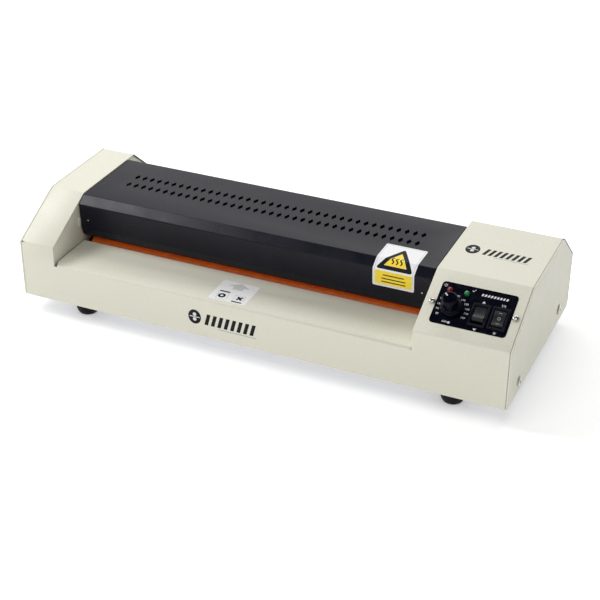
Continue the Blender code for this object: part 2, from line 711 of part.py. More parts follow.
def motor(corner):
    """Synchronous gear motor on a plate that stands off the right frame on two posts."""
    y, z = IDLER_Y, PINION_Z
    plate_end = MOTOR_FACE_X + SIDE_SHEET
    bm = bmesh.new()
    ys = (y - MOTOR_PLATE_HALF_Y, y + MOTOR_PLATE_HALF_Y)
    add_box(bm, (MOTOR_FACE_X, plate_end), ys, (z - MOTOR_PLATE_BOTTOM, z + MOTOR_PLATE_TOP))
    body = solid("motor", bm, corner, "zinc_steel")
    bm = bmesh.new()
    weld_x = MOTOR_FACE_X + SIDE_SHEET / 2
    can = [
        (weld_x, 0),
        (weld_x, MOTOR_RADIUS),
        (MOTOR_END_X - MOTOR_RIM, MOTOR_RADIUS),
        (MOTOR_END_X, MOTOR_RADIUS - MOTOR_RIM),
        (MOTOR_END_X, 0),
    ]
    add_turned(bm, "X", can, (y, z), 28)
    post_start = frame_face("right")[0] + FRAME_SHEET + GAP
    for way in (-1, 1):
        centre = (y + way * MOTOR_POST[0], z + MOTOR_POST[1])
        add_round(bm, "X", post_start, weld_x, STUD_RADIUS, centre, 12)
    boolean(body, solid("join_motor", bm, corner, "zinc_steel"), "UNION")
    bm = bmesh.new()
    well = (MOTOR_FACE_X - SHEET, PINION_SHAFT_END_X + SHEET)
    add_round(bm, "X", well[0], well[1], STUD_RADIUS + 2 * GAP, (y, z), 12)
    boolean(body, solid("cut_motor", bm, corner, "zinc_steel"), "DIFFERENCE")


def plate_levels():
    """Lowest and highest z of the lower and of the upper heating plate."""
    return {
        "lower": (PASS_BOTTOM_Z - PLATE_THICKNESS, PASS_BOTTOM_Z),
        "upper": (PASS_TOP_Z, PASS_TOP_Z + PLATE_THICKNESS),
    }


def lug_levels():
    """Lowest z of each heating plate's lugs."""
    lift = (PLATE_THICKNESS - LUG_THICKNESS) / 2
    return [low + lift for low, _ in plate_levels().values()]


def heating(corner):
    """Two aluminium plates, whose lugs reach through the inner walls to the frames, and heaters."""
    reach = [frame_face(side)[0] - frame_face(side)[1] * GAP for side in ("left", "right")]
    for (level, (low, high)), lug in zip(plate_levels().items(), lug_levels()):
        front, rear = PLATE_YS
        pass_z, back_z = (high, low) if level == "lower" else (low, high)
        bevel = PLATE_CHAMFER if level == "lower" else -PLATE_CHAMFER
        outline = [
            (front, back_z),
            (front, pass_z - bevel),
            (front + PLATE_CHAMFER, pass_z),
            (rear - PLATE_CHAMFER, pass_z),
            (rear, pass_z - bevel),
            (rear, back_z),
        ]
        bm = bmesh.new()
        add_prism(bm, "X", PLATE_ENDS[0], PLATE_ENDS[1], outline)
        plate = solid(f"{level}_heating_plate", bm, corner, "aluminium")
        bm = bmesh.new()
        for ys in LUG_YS:
            add_box(bm, (reach[0], PLATE_ENDS[0] + SHEET), ys, (lug, lug + LUG_THICKNESS))
            add_box(bm, (PLATE_ENDS[1] - SHEET, reach[1]), ys, (lug, lug + LUG_THICKNESS))
        boolean(plate, solid(f"join_{level}_lugs", bm, corner, "aluminium"), "UNION")
        if level == "lower":
            zs = (low - GAP - HEATER_THICKNESS, low - GAP)
        else:
            zs = (high + GAP, high + GAP + HEATER_THICKNESS)
        bm = bmesh.new()
        add_box(bm, HEATER_ENDS, HEATER_YS, zs)
        solid(f"{level}_heater", bm, corner, "mica")


def panel_screws(slope):
    """Domed screws that hold the control plate."""
    head = PANEL_SCREW_HEAD
    proud = PANEL_SCREW_PROUD
    profile = [
        (-PANEL_SCREW_LENGTH, 0),
        (-PANEL_SCREW_LENGTH, PANEL_SCREW_SHANK),
        (GAP, PANEL_SCREW_SHANK),
        (GAP, head),
        (0.55 * proud, 0.9 * head),
        (0.9 * proud, 0.55 * head),
        (proud, 0),
    ]
    for side, at in PANEL_SCREWS.items():
        bm = bmesh.new()
        add_turned(bm, "Z", profile, count=12)
        solid(f"control_screw_{side}", bm, slope, "bright_steel", (*at, 0))


def lamps(slope):
    """Two round-topped lenses, each held from below by its flange."""
    under = -SHEET - GAP
    profile = [
        (-LAMP_DEPTH, 0),
        (-LAMP_DEPTH, LAMP_RADIUS),
        (under - LAMP_FLANGE_THICKNESS, LAMP_RADIUS),
        (under - LAMP_FLANGE_THICKNESS, LAMP_FLANGE),
        (under, LAMP_FLANGE),
        (under, LAMP_RADIUS),
    ]
    for step in range(3):
        angle = math.pi / 6 * step
        profile.append((LAMP_RISE + LAMP_RADIUS * math.sin(angle), LAMP_RADIUS * math.cos(angle)))
    profile.append((LAMP_RISE + LAMP_RADIUS, 0))
    for (name, at), finish in zip(LAMPS.items(), ("red_lens", "green_lens")):
        bm = bmesh.new()
        add_turned(bm, "Z", profile, count=12)
        solid(name, bm, slope, finish, (*at, 0))


def fluted(scale):
    """The knob's outline at one height: a groove between every two flutes."""
    points = []
    for i in range(2 * KNOB_FLUTES):
        radius = scale * KNOB_RADIUS * (1.0 if i % 2 else KNOB_GROOVE)
        angle = math.pi * i / KNOB_FLUTES
        points.append((radius * math.cos(angle), radius * math.sin(angle)))
    return points


def thermostat_and_knob(slope):
    """Turning thermostat under the slope, and the fluted knob on its spindle."""
    collar_top = -SHEET - GAP
    profile = [
        (THERMOSTAT_BOTTOM, 0),
        (THERMOSTAT_BOTTOM, THERMOSTAT_RADIUS),
        (THERMOSTAT_TOP, THERMOSTAT_RADIUS),
        (THERMOSTAT_TOP, THERMOSTAT_COLLAR),
        (collar_top, THERMOSTAT_COLLAR),
        (collar_top, THERMOSTAT_NECK),
        (KNOB_BASE - GAP, THERMOSTAT_NECK),
        (KNOB_BASE - GAP, SPINDLE_RADIUS),
        (SPINDLE_TOP, SPINDLE_RADIUS),
        (SPINDLE_TOP, 0),
    ]
    at = (*KNOB_AT, 0)
    bm = bmesh.new()
    add_turned(bm, "Z", profile, count=16)
    solid("thermostat", bm, slope, "black_plastic", at)
    bm = bmesh.new()
    add_loft(bm, "Z", [(height, fluted(scale)) for height, scale in KNOB_TIERS])
    knob = solid("temperature_knob", bm, slope, "black_plastic", at)
    bm = bmesh.new()
    add_round(bm, "Z", 0, SPINDLE_TOP + GAP, SPINDLE_RADIUS + GAP, count=16)
    boolean(knob, solid("cut_knob_bore", bm, slope, "black_plastic", at), "DIFFERENCE")


def rectangle(half):
    return [(-half[0], -half[1]), (half[0], -half[1]), (half[0], half[1]), (-half[0], half[1])]


def switches(slope):
    """Two rocker switches; each rocker's origin is on its pivot."""
    for name, (x, u) in SWITCHES.items():
        at = (x, u, 0)
        bm = bmesh.new()
        add_prism(bm, "Z", GAP, BEZEL_TOP, rectangle(BEZEL_HALF))
        body = solid(f"{name}_body", bm, slope, "black_plastic", at)
        bm = bmesh.new()
        add_prism(bm, "Z", -SWITCH_DEPTH, BEZEL_TOP / 2, rectangle(SWITCH_HALF))
        boolean(body, solid(f"join_{name}", bm, slope, "black_plastic", at), "UNION")
        bm = bmesh.new()
        add_prism(bm, "Z", -CAVITY_DEPTH, BEZEL_TOP + SHEET, rectangle(CAVITY_HALF))
        boolean(body, solid(f"cut_{name}", bm, slope, "black_plastic", at), "DIFFERENCE")
        ends = []
        for degrees in ROCKER_END_DEG:
            angle = math.radians(degrees)
            ends.append((ROCKER_RADIUS * math.cos(angle), ROCKER_RADIUS * math.sin(angle)))
        outline = [(0, ROCKER_CROWN), *ends, (0, -ROCKER_KEEL)]
        outline += [(-end, height) for end, height in reversed(ends)]
        half = CAVITY_HALF[0] - GAP
        bm = bmesh.new()
        add_prism(bm, "X", -half, half, outline)
        tilt = math.radians(ROCKER_REST_DEG[name])
        solid(f"{name}_rocker", bm, slope, "black_plastic", (x, u, ROCKER_AXIS), tilt)


def power_inlet(corner):
    """Three-pin appliance inlet, clipped in the rear panel."""
    rear = DEPTH + INLET_PROUD
    at = (INLET_X, 0, INLET_Z)
    bm = bmesh.new()
    add_prism(bm, "Y", DEPTH + GAP, rear, rectangle(INLET_FLANGE_HALF))
    inlet = solid("power_inlet", bm, corner, "black_plastic", at)
    bm = bmesh.new()
    add_prism(bm, "Y", DEPTH - INLET_DEPTH, DEPTH + INLET_PROUD / 2, rectangle(INLET_HALF))
    boolean(inlet, solid("join_inlet", bm, corner, "black_plastic", at), "UNION")
    half_x, half_z = MOUTH_HALF
    mouth = [
        (-half_x, -half_z),
        (half_x, -half_z),
        (half_x, half_z - MOUTH_CORNER),
        (half_x - MOUTH_CORNER, half_z),
        (MOUTH_CORNER - half_x, half_z),
        (-half_x, half_z - MOUTH_CORNER),
    ]
    floor = rear - MOUTH_DEPTH
    bm = bmesh.new()
    add_prism(bm, "Y", floor, rear + SHEET, mouth)
    boolean(inlet, solid("cut_inlet_mouth", bm, corner, "black_plastic", at), "DIFFERENCE")
    bm = bmesh.new()
    for x, z in PIN_PLACES:
        pin = [(x + a, z + b) for a, b in rectangle(PIN_HALF)]
        add_prism(bm, "Y", floor - SHEET, rear - PIN_SETBACK, pin)
    boolean(inlet, solid("join_pins", bm, corner, "black_plastic", at), "UNION")


def feet(corner):
    """Bowl-shaped rubber feet: a quarter ellipse from the casing down to the flat tread."""
    steps = 4
    profile = [(-GAP, 0)]
    for i in range(steps + 1):
        angle = math.pi / 2 * i / steps
        bulge = FOOT_TREAD + (FOOT_RADIUS - FOOT_TREAD) * math.cos(angle)
        profile.append((-GAP - (FOOT_HEIGHT - GAP) * math.sin(angle), bulge))
    profile += [
        (-FOOT_HEIGHT, FOOT_HOLE),
        (FOOT_HOLE_DEPTH - FOOT_HEIGHT, FOOT_HOLE),
        (FOOT_HOLE_DEPTH - FOOT_HEIGHT, 0),
    ]
    for row, y in FOOT_YS.items():
        for side, x in FOOT_XS.items():
            bm = bmesh.new()
            add_turned(bm, "Z", profile)
            solid(f"{row}_{side}_foot", bm, corner, "black_rubber", (x, y, 0))


def side_screws(corner):
    """Round-headed screws through the side panels into the base plate's flanges."""
    head = SIDE_SCREW_HEAD
    proud = SIDE_SCREW_PROUD
    for side, face, way in (("left", 0, -1), ("right", LENGTH, 1)):
        profile = [
            (-SIDE_SCREW_LENGTH * way, 0),
            (-SIDE_SCREW_LENGTH * way, SIDE_SCREW_SHANK),
            (GAP * way, SIDE_SCREW_SHANK),
            (GAP * way, head),
            (0.55 * proud * way, 0.95 * head),
            (proud * way, 0.6 * head),
            (proud * way, 0),
        ]
        for row, (y, z) in SIDE_SCREWS.items():
            bm = bmesh.new()
            add_turned(bm, "X", profile, count=16)
            solid(f"{side}_screw_{row}", bm, corner, "bright_steel", (face, y, z))


def main():
    clear_scene()
    corner = empty("casing_corner", (-LENGTH / 2, -TOTAL_DEPTH / 2, FOOT_HEIGHT))
    slope = empty("hood_slope", (0, *FRONT_BEND), corner, SLOPE_ANGLE)
    front_shell(corner, slope)
    rear_panel(corner)
    side_panels(corner)
    inner_walls(corner)
    base_plate(corner)
    top_cover(corner)
    frames(corner)
    bushes(corner)
    springs(corner)
    rollers(corner)
    gear_train(corner)
    motor(corner)
    heating(corner)
    panel_screws(slope)
    lamps(slope)
    thermostat_and_knob(slope)
    switches(slope)
    power_inlet(corner)
    feet(corner)
    side_screws(corner)


main()
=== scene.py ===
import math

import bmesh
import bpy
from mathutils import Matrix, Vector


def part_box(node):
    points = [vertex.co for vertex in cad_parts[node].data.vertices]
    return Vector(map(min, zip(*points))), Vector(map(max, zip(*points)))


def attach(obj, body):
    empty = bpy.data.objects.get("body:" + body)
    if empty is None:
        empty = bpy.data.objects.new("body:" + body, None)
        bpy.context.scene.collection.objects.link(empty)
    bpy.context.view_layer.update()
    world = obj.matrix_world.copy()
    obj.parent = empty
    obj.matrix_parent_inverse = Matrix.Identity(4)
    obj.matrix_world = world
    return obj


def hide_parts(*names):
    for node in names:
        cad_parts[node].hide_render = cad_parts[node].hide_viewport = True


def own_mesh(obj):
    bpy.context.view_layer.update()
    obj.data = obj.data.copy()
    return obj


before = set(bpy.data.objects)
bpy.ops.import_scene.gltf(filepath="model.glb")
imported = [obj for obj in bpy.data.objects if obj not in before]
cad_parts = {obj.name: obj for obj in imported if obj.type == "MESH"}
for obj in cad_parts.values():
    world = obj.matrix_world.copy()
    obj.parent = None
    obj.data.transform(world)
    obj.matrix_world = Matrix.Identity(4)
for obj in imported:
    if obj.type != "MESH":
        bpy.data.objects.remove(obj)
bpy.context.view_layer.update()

# Pouch laminator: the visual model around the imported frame.
#
# Shapes are drawn in millimetres in casing coordinates, whose zero is the left end of the casing's
# front bottom edge: x to the right, y to the rear, z up. CASING carries them into the world.
# What stands on the right hood's slope is drawn in slope coordinates: x to the right, u up the
# slope from the front bend, n out of the metal. SIDEWAYS turns outlines of (y, z) points, lofted
# along Z, so that the loft runs along x.

MM = 0.001
CORNER = Vector(
    (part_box("left_side_panel")[0].x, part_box("front_shell")[0].y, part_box("left_side_panel")[0].z)
)
CASING = Matrix.Translation(CORNER) @ Matrix.Scale(MM, 4)
SIDEWAYS = Matrix(((0, 0, 1, 0), (1, 0, 0, 0), (0, 1, 0, 0), (0, 0, 0, 1)))


def box_of(node):
    """Lowest and highest corner of a CAD node in casing coordinates."""
    return [(corner - CORNER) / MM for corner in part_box(node)]


# Casing
LENGTH = box_of("right_side_panel")[1].x
DEPTH = box_of("rear_panel")[1].y
FLOOR_Z = -CORNER.z / MM
SHEET = 1.2
SIDE_SHEET = 1.5
GAP = 0.3
SEAM = 0.4
INK_ROOM = 0.06
BAY_LEFT = 38.5
BAY_RIGHT = 415.7
BEND_RADIUS = 2.0
EDGE_RADIUS = 0.28
SHARP_DEG = 35
FRONT_BEND = (0.0, 59.7)
ROOF_FRONT = (62.5, 93.6)
ROOF_REAR = (162.5, 95.5)
REAR_BEND = (DEPTH, 59.5)
HOOD_RETURN = 3.0
REAR_INSET = 1.2
HOOD_PATH = [(0, 0), FRONT_BEND, ROOF_FRONT, ROOF_REAR, REAR_BEND]
SHELL_PATH = [(INK_ROOM, 0), (INK_ROOM, FRONT_BEND[1]), *HOOD_PATH[2:]]
HOOD_ENDS = (SIDE_SHEET + SEAM, LENGTH - SIDE_SHEET - SEAM)
WALL_XS = (HOOD_ENDS[0], BAY_LEFT, BAY_RIGHT, HOOD_ENDS[1])
MIDDLE_Y = 105.5

# Feed shelf; the delivery tray mirrors it about the middle of the rollers
SHELF_FRONT_Z = 41.7
SHELF_EDGE = (56.9, 43.4)
SHELF_RETURN = 5.0
SHELF_XS = (BAY_LEFT + 0.5, BAY_RIGHT - 0.5)
NOTCH_LENGTH = 7.0
NOTCH_WIDTHS = {BAY_LEFT: 3.4, BAY_RIGHT: -0.7}

# Black cover
COVER_ENDS = (BAY_LEFT + 1.0, BAY_RIGHT - 1.0)
COVER_FACE = [(57.6, 48.5), (54.3, 52.2), (52.2, 59.6), (50.5, 85.8), (60.7, 92.7)]
COVER_RADII = [5.0, 12.0, 1.7, 1.7]
COVER_REAR_RISE = 1.7
VENT_COLUMNS = 38
VENT_PITCH = 8.46
VENT_FIRST_X = 69.8
VENT_ROWS_Y = (99.0, 117.0)
VENT_HALF = (2.5, 5.5)
# Dark channel under the vents, painted shade: its lower front and upper rear (y, z) corners.
VENT_SHADE_CHANNEL = ((86.0, 80.0), (130.0, 91.4))
RIVET_YZ = (51.55, 69.4)
RIVET_XS = {"left": 48.3, "right": 405.8}

# Rollers
ROLLER_YS = {"front": 71.0, "rear": 140.0}
ROLLER_ZS = {"lower": 32.8, "upper": 59.1}
ROLLERS = {
    f"{row}_{level}": (y, z) for row, y in ROLLER_YS.items() for level, z in ROLLER_ZS.items()
}
JOURNAL_CHAMFER, CORE_CHAMFER, SLEEVE_RIM = 0.6, 0.4, 0.8
SLEEVE_RADIUS = 13.0
SLEEVE_BORE = 8.3
CORE_RADIUS = 8.0
JOURNAL_RADIUS = 4.0

# Controls on the slope
SLOPE_ANGLE = math.atan2(ROOF_FRONT[1] - FRONT_BEND[1], ROOF_FRONT[0] - FRONT_BEND[0])
SLOPE = CASING @ Matrix.Translation((0, *FRONT_BEND)) @ Matrix.Rotation(SLOPE_ANGLE, 4, "X")
LABEL = ((426.2, 13.2), (497.3, 58.2))
PANEL_SCREWS = {"left": (422.8, 34.8), "right": (500.5, 35.3)}
LAMPS = {"power_lamp": (435.1, 49.6), "ready_lamp": (451.1, 49.4)}
KNOB_AT = (442.5, 31.0)
POINTER_DEG = 142
SCREW_HOLE, LAMP_HOLE, KNOB_HOLE = 1.9, 2.8, 4.2
SWITCHES = {"drive_switch": (468.6, 29.8), "heat_switch": (486.8, 30.4)}
DIAL = {
    80: (431.2, 23.4), 90: (429.8, 28.4), 100: (429.8, 33.5), 110: (430.9, 39.6), 120: (436.4, 44.2),
    130: (443.6, 45.2), 140: (449.6, 42.2), 150: (453.8, 38.6), 160: (456.1, 33.8),
    170: (456.4, 28.9), 180: (455.0, 24.2),
}
ROCKER_LIPS = {"drive_switch": (4.2, 7.9), "heat_switch": (7.4, 7.4)}
ROCKER_REST_DEG = {"drive_switch": -9.0, "heat_switch": 0.0}
ROCKER_AXIS = 0.2
ROCKER_REACH = 8.85
BEZEL_HALF = (8.4, 12.0)
SWITCH_HALF = (6.7, 10.2)
CAVITY_HALF = (5.7, 9.3)

# Inlet, feet and side screws
INLET_AT = (455.0, 34.0)
INLET_BODY = (13.6, 10.1)
INLET_PROUD = 2.0
FOOT_XS = {"left": 59.6, "right": 450.5}
FOOT_YS = {"front": 23.0, "rear": 183.0}
SIDE_SCREWS = {"front": (32.8, 11.8), "rear": (167.8, 15.4)}

# Camera and studio
CAMERA_DEG = {"azimuth": 24.134, "elevation": 29.835, "roll": 0.256}
CAMERA_AT = (0.5047, -1.1139, 0.7179)
CAMERA_LENS = 83.57
LIGHT_TARGET = Vector((0, 0, 0.05))
FLOOR_HALF = 4
FLOOR_GLOW = 0.36
ZENITH = 0.015
WORLD_BY_HEIGHT = ((0.5, 0.92), (0.75, 0.1))
WORLD_BRIGHT_SIDE = (-0.5, 0.87, 0.0)
WORLD_DIM = 0.12
WORLD_BRIGHT = 1.3
SOFTBOXES = {
    "back": ((-0.1, 0.85, 1.45), (1.6, 0.7), 10.5),
    "front": ((0.1, -0.9, 1.5), (1.6, 0.8), 8.0),
    "fill": ((-0.1, -1.6, 0.42), (1.8, 0.3), 2.4),
    "left": ((-0.95, -0.15, 1.1), (0.4, 0.6), 8.0),
}


# ---- materials


def set_inputs(node, inputs):
    """Sets inputs of a node; a _ in a name stands for a space."""
    for socket, value in inputs.items():
        node.inputs[socket.replace("_", " ")].default_value = value
    return node


def add_node(tree, kind, **inputs):
    return set_inputs(tree.nodes.new("ShaderNode" + kind), inputs)


def link(source, output, target, socket):
    target.id_data.links.new(source.outputs[output], target.inputs[socket])


def shader_of(material):
    return material.node_tree.nodes["Principled BSDF"]


def look(name, color, roughness, metallic=0.0, **sockets):
    """A Principled material with uniform values, to which texture is added afterwards."""
    material = bpy.data.materials.new(name)
    material.use_nodes = True
    material.diffuse_color = (*color, 1)
    base = {"Base_Color": (*color, 1), "Roughness": roughness, "Metallic": metallic}
    set_inputs(shader_of(material), {**base, **sockets})
    return material


def noise(material, size, detail=2.0, stretch=(1, 1, 1)):
    """A noise in the piece's own space, whose features are about size mm wide."""
    tree = material.node_tree
    place = add_node(tree, "TexCoord")
    scale = add_node(tree, "Mapping", Scale=[1 / (size * MM * s) for s in stretch])
    texture = add_node(tree, "TexNoise", Scale=1.0, Detail=detail)
    link(place, "Object", scale, "Vector")
    link(scale, "Vector", texture, "Vector")
    return texture


def tint(material, grain, dark, light):
    """Varies the base colour with a noise; grain is its size, detail and stretch."""
    ramp = add_node(material.node_tree, "ValToRGB")
    for stop, position, color in zip(ramp.color_ramp.elements, (0.35, 0.65), (dark, light)):
        stop.position = position
        stop.color = (*color, 1)
    link(noise(material, *grain), "Fac", ramp, "Fac")
    link(ramp, "Color", shader_of(material), "Base Color")


def gloss(material, grain, smooth, rough):
    """Varies the roughness between two values with a noise."""
    span = {"From_Min": 0.3, "From_Max": 0.7, "To_Min": smooth, "To_Max": rough}
    ramp = add_node(material.node_tree, "MapRange", **span)
    link(noise(material, *grain), "Fac", ramp, "Value")
    link(ramp, "Result", shader_of(material), "Roughness")


def bump(material, grain, depth, strength):
    """Adds a relief, depth mm high, over any relief already there."""
    shader = shader_of(material)
    relief = add_node(material.node_tree, "Bump", Distance=depth * MM, Strength=strength)
    link(noise(material, *grain), "Fac", relief, "Height")
    for below in shader.inputs["Normal"].links:
        link(below.from_node, "Normal", relief, "Normal")
    link(relief, "Normal", shader, "Normal")


def cream_paint():
    """Wrinkled powder coat: pebbles of about a millimetre with a fine grain on them."""
    made = look("cream_powder_coat", (0.74, 0.72, 0.60), 0.42)
    tint(made, (1.6, 3), (0.695, 0.682, 0.572), (0.735, 0.722, 0.606))
    gloss(made, (25, 2), 0.38, 0.48)
    bump(made, (1.1, 2), 0.12, 0.42)
    bump(made, (0.35, 1), 0.04, 0.4)
    return made


def black_paint():
    """Smooth satin black with a faint orange peel."""
    made = look("satin_black_paint", (0.002, 0.002, 0.008), 0.28, Specular_IOR_Level=0.22)
    tint(made, (30, 4), (0.0015, 0.0015, 0.007), (0.003, 0.003, 0.010))
    gloss(made, (18, 3), 0.26, 0.34)
    bump(made, (2.4, 1), 0.01, 0.12)
    return made


def silicone():
    """Orange silicone rubber, ground round the roller."""
    made = look("orange_silicone", (0.92, 0.19, 0.015), 0.42)
    tint(made, (9, 4), (0.88, 0.17, 0.012), (0.96, 0.21, 0.020))
    gloss(made, (4, 2), 0.38, 0.5)
    bump(made, (0.35, 2, (1, 12, 12)), 0.03, 0.4)
    return made


def moulded(name, dark, light, roughness, grain=0.3, shine=0.5):
    """Moulded plastic with a fine spark-eroded grain."""
    made = look(name, light, roughness, Specular_IOR_Level=shine)
    tint(made, (6, 3), dark, light)
    gloss(made, (3, 2), roughness - 0.05, roughness + 0.05)
    bump(made, (grain, 1), 0.03, 0.4)
    return made


def metal(name, dark, light, smooth, rough, stretch=(1, 1, 1)):
    """Steel or aluminium whose grain is drawn out along an axis."""
    made = look(name, light, smooth, 1.0)
    tint(made, (8, 4), dark, light)
    gloss(made, (0.6, 3, stretch), smooth, rough)
    bump(made, (0.35, 2, stretch), 0.015, 0.35)
    return made


def lens(name, dark, light):
    """Tinted clear plastic, cloudy inside."""
    made = look(name, light, 0.2, Transmission_Weight=0.2, Coat_Weight=0.3, Coat_Roughness=0.08)
    tint(made, (1.2, 2), dark, light)
    gloss(made, (1.5, 2), 0.16, 0.26)
    bump(made, (1.0, 1), 0.02, 0.3)
    return made


def printed(name, dark, light, roughness=0.4, shine=0.5):
    """Printed film or ink with a slightly uneven cover."""
    made = look(name, light, roughness, Specular_IOR_Level=shine)
    tint(made, (0.8, 3), dark, light)
    gloss(made, (5, 2), roughness - 0.06, roughness + 0.06)
    bump(made, (0.9, 2), 0.01, 0.3)
    return made


CREAM = cream_paint()
BLACK_PAINT = black_paint()
SILICONE = silicone()
BLACK_PLASTIC = moulded(
    "black_plastic_grain", (0.001, 0.001, 0.005), (0.002, 0.002, 0.008), 0.2, 0.2, 0.12
)
ROCKER_PLASTIC = moulded(
    "rocker_plastic_satin", (0.009, 0.010, 0.012), (0.013, 0.014, 0.016), 0.34, 0.2, 0.32
)
BEZEL_PLASTIC = moulded(
    "bezel_plastic_grain", (0.004, 0.004, 0.010), (0.007, 0.007, 0.014), 0.32, 0.2, 0.12
)
GEAR_PLASTIC = moulded("ivory_acetal", (0.74, 0.71, 0.62), (0.80, 0.77, 0.69), 0.45)
BUSH_PLASTIC = moulded("brown_bush_plastic", (0.13, 0.09, 0.06), (0.18, 0.13, 0.09), 0.5)
MICA = moulded("mica_sheet", (0.38, 0.27, 0.13), (0.52, 0.39, 0.22), 0.5, 1.2)
# Matte black rubber for the feet; the strips along the rear slopes take it too, as painted shade.
RUBBER_AND_PAINTED_SHADE = moulded(
    "foot_rubber_and_painted_shade_matte", (0.003, 0.003, 0.006), (0.006, 0.006, 0.010), 0.5, 0.5, 0.15
)
ZINC = metal("zinc_plated_steel", (0.50, 0.51, 0.53), (0.62, 0.63, 0.66), 0.32, 0.46)
SHAFT_STEEL = metal(
    "ground_shaft_steel", (0.60, 0.60, 0.62), (0.70, 0.70, 0.72), 0.18, 0.3, (1, 10, 10)
)
CHROME = metal("nickel_plated_screw", (0.48, 0.47, 0.44), (0.64, 0.63, 0.60), 0.14, 0.24)
ALUMINIUM = metal(
    "extruded_aluminium", (0.66, 0.67, 0.69), (0.76, 0.77, 0.79), 0.28, 0.42, (20, 1, 1)
)
RED_LENS = lens("red_lens_tint", (0.20, 0.002, 0.008), (0.36, 0.004, 0.014))
GREEN_LENS = lens("green_lens_tint", (0.004, 0.18, 0.055), (0.008, 0.36, 0.11))
LABEL_FILM = printed("label_black_film", (0.001, 0.001, 0.005), (0.002, 0.002, 0.008), 0.25, 0.15)
WHITE_FILM = printed("sticker_white_film", (0.80, 0.80, 0.80), (0.88, 0.88, 0.88), 0.35)
WHITE_INK = printed("ink_white", (0.62, 0.62, 0.62), (0.80, 0.80, 0.80))
BLACK_INK = printed("ink_black", (0.003, 0.003, 0.005), (0.008, 0.008, 0.010), 0.45, 0.15)
GREY_INK = printed("ink_grey", (0.36, 0.36, 0.36), (0.44, 0.44, 0.44))
PALE_INK = printed("ink_pale_grey", (0.56, 0.56, 0.56), (0.64, 0.64, 0.64))
YELLOW_INK = printed("ink_yellow", (0.92, 0.66, 0.02), (0.98, 0.74, 0.03))


# ---- mesh helpers


def add_object(name, data):
    made = bpy.data.objects.new(name, data)
    bpy.context.scene.collection.objects.link(made)
    return made


def mesh_of(name, bm, place):
    """The mesh of a bmesh moved to its place. It uses the bmesh up."""
    bm.transform(place)
    mesh = bpy.data.meshes.new(name)
    bm.to_mesh(mesh)
    bm.free()
    return mesh


def sharpen(mesh, degrees):
    """Keeps edges sharper than an angle sharp in the shading."""
    mesh.set_sharp_from_angle(angle=math.radians(degrees))


def piece(name, bm, material, body="casing", place=CASING, replaces=()):
    """Turns a bmesh drawn in mm into a piece that rides on a body."""
    mesh = mesh_of(name, bm, place)
    mesh.shade_smooth()
    sharpen(mesh, SHARP_DEG)
    mesh.materials.append(material)
    made = add_object(name, mesh)
    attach(made, body)
    if replaces:
        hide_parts(*replaces)
    return made


def modifier(obj, kind, **values):
    made = obj.modifiers.new(kind.lower(), kind)
    for key, value in values.items():
        setattr(made, key, value)
    return made


def soften(obj, radius=EDGE_RADIUS, segments=2, angle=50):
    """Rounds the edges sharper than the angle, and shades flat faces flat."""
    limit = math.radians(angle)
    width = radius * MM
    modifier(
        obj, "BEVEL", width=width, segments=segments, limit_method="ANGLE", angle_limit=limit
    )
    modifier(obj, "WEIGHTED_NORMAL", keep_sharp=False, weight=80)


def thicken(obj, thickness, offset=-1):
    modifier(obj, "SOLIDIFY", thickness=thickness * MM, offset=offset, use_even_offset=True)


def settle(obj):
    """Makes a piece's modifiers its mesh."""
    graph = bpy.context.evaluated_depsgraph_get()
    made = bpy.data.meshes.new_from_object(obj.evaluated_get(graph))
    obj.modifiers.clear()
    obj.data = made


def ease(obj, radius=EDGE_RADIUS, segments=2, angle=50):
    """Rounds a piece's sharp edges for good, after any modifier it has."""
    soften(obj, radius, segments, angle)
    settle(obj)


def cut(obj, bm, place=CASING):
    """Cuts a closed bmesh, drawn in mm, out of a piece."""
    bmesh.ops.recalc_face_normals(bm, faces=bm.faces)
    tool = add_object("cutter", mesh_of("cutter", bm, place))
    modifier(obj, "BOOLEAN", operation="DIFFERENCE", solver="EXACT", object=tool)
    settle(obj)
    bpy.data.objects.remove(tool)


def rounded(points, radii, steps=6):
    """An open outline whose inner corners are arcs, one radius for each inner corner."""
    path = [Vector(p) for p in points]
    made = [path[0]]
    for i, radius in enumerate(radii, 1):
        before = (path[i - 1] - path[i]).normalized()
        after = (path[i + 1] - path[i]).normalized()
        half = before.angle(after) / 2
        centre = path[i] + (before + after).normalized() * radius / math.sin(half)
        start = path[i] + before * radius / math.tan(half) - centre
        end = path[i] + after * radius / math.tan(half) - centre
        for step in range(steps + 1):
            way = start.lerp(end, step / steps).normalized()
            made.append(centre + way * radius)
    made.append(path[-1])
    return [tuple(p) for p in made]


def strip(bm, path, low, high, first=None):
    """A skin along a path of (y, z) points from x = low to x = high, facing out if it is clockwise.

    first gives two vertices to start from, so that two strips share an edge."""
    rows = [] if first is None else [first]
    for y, z in path[len(rows):]:
        rows.append((bm.verts.new((low, y, z)), bm.verts.new((high, y, z))))
    for (a, b), (c, d) in zip(rows, rows[1:]):
        bm.faces.new((a, b, d, c))
    return rows


def circle(radius, count=64):
    steps = [2 * math.pi * i / count for i in range(count)]
    return [(radius * math.cos(t), radius * math.sin(t)) for t in steps]


def rectangle(low, high, radius, steps=5):
    """A rectangle with round corners, drawn anticlockwise."""
    xs = (high[0] - radius, low[0] + radius, low[0] + radius, high[0] - radius)
    ys = (high[1] - radius, high[1] - radius, low[1] + radius, low[1] + radius)
    made = []
    for centre, start in zip(zip(xs, ys), (0, 90, 180, 270)):
        made += arc(centre, radius, start, start + 90, steps)
    return made


def bridge(bm, low, high):
    """Joins two rings of vertices."""
    for i in range(len(low)):
        j = (i + 1) % len(low)
        bm.faces.new((low[i], low[j], high[j], high[i]))


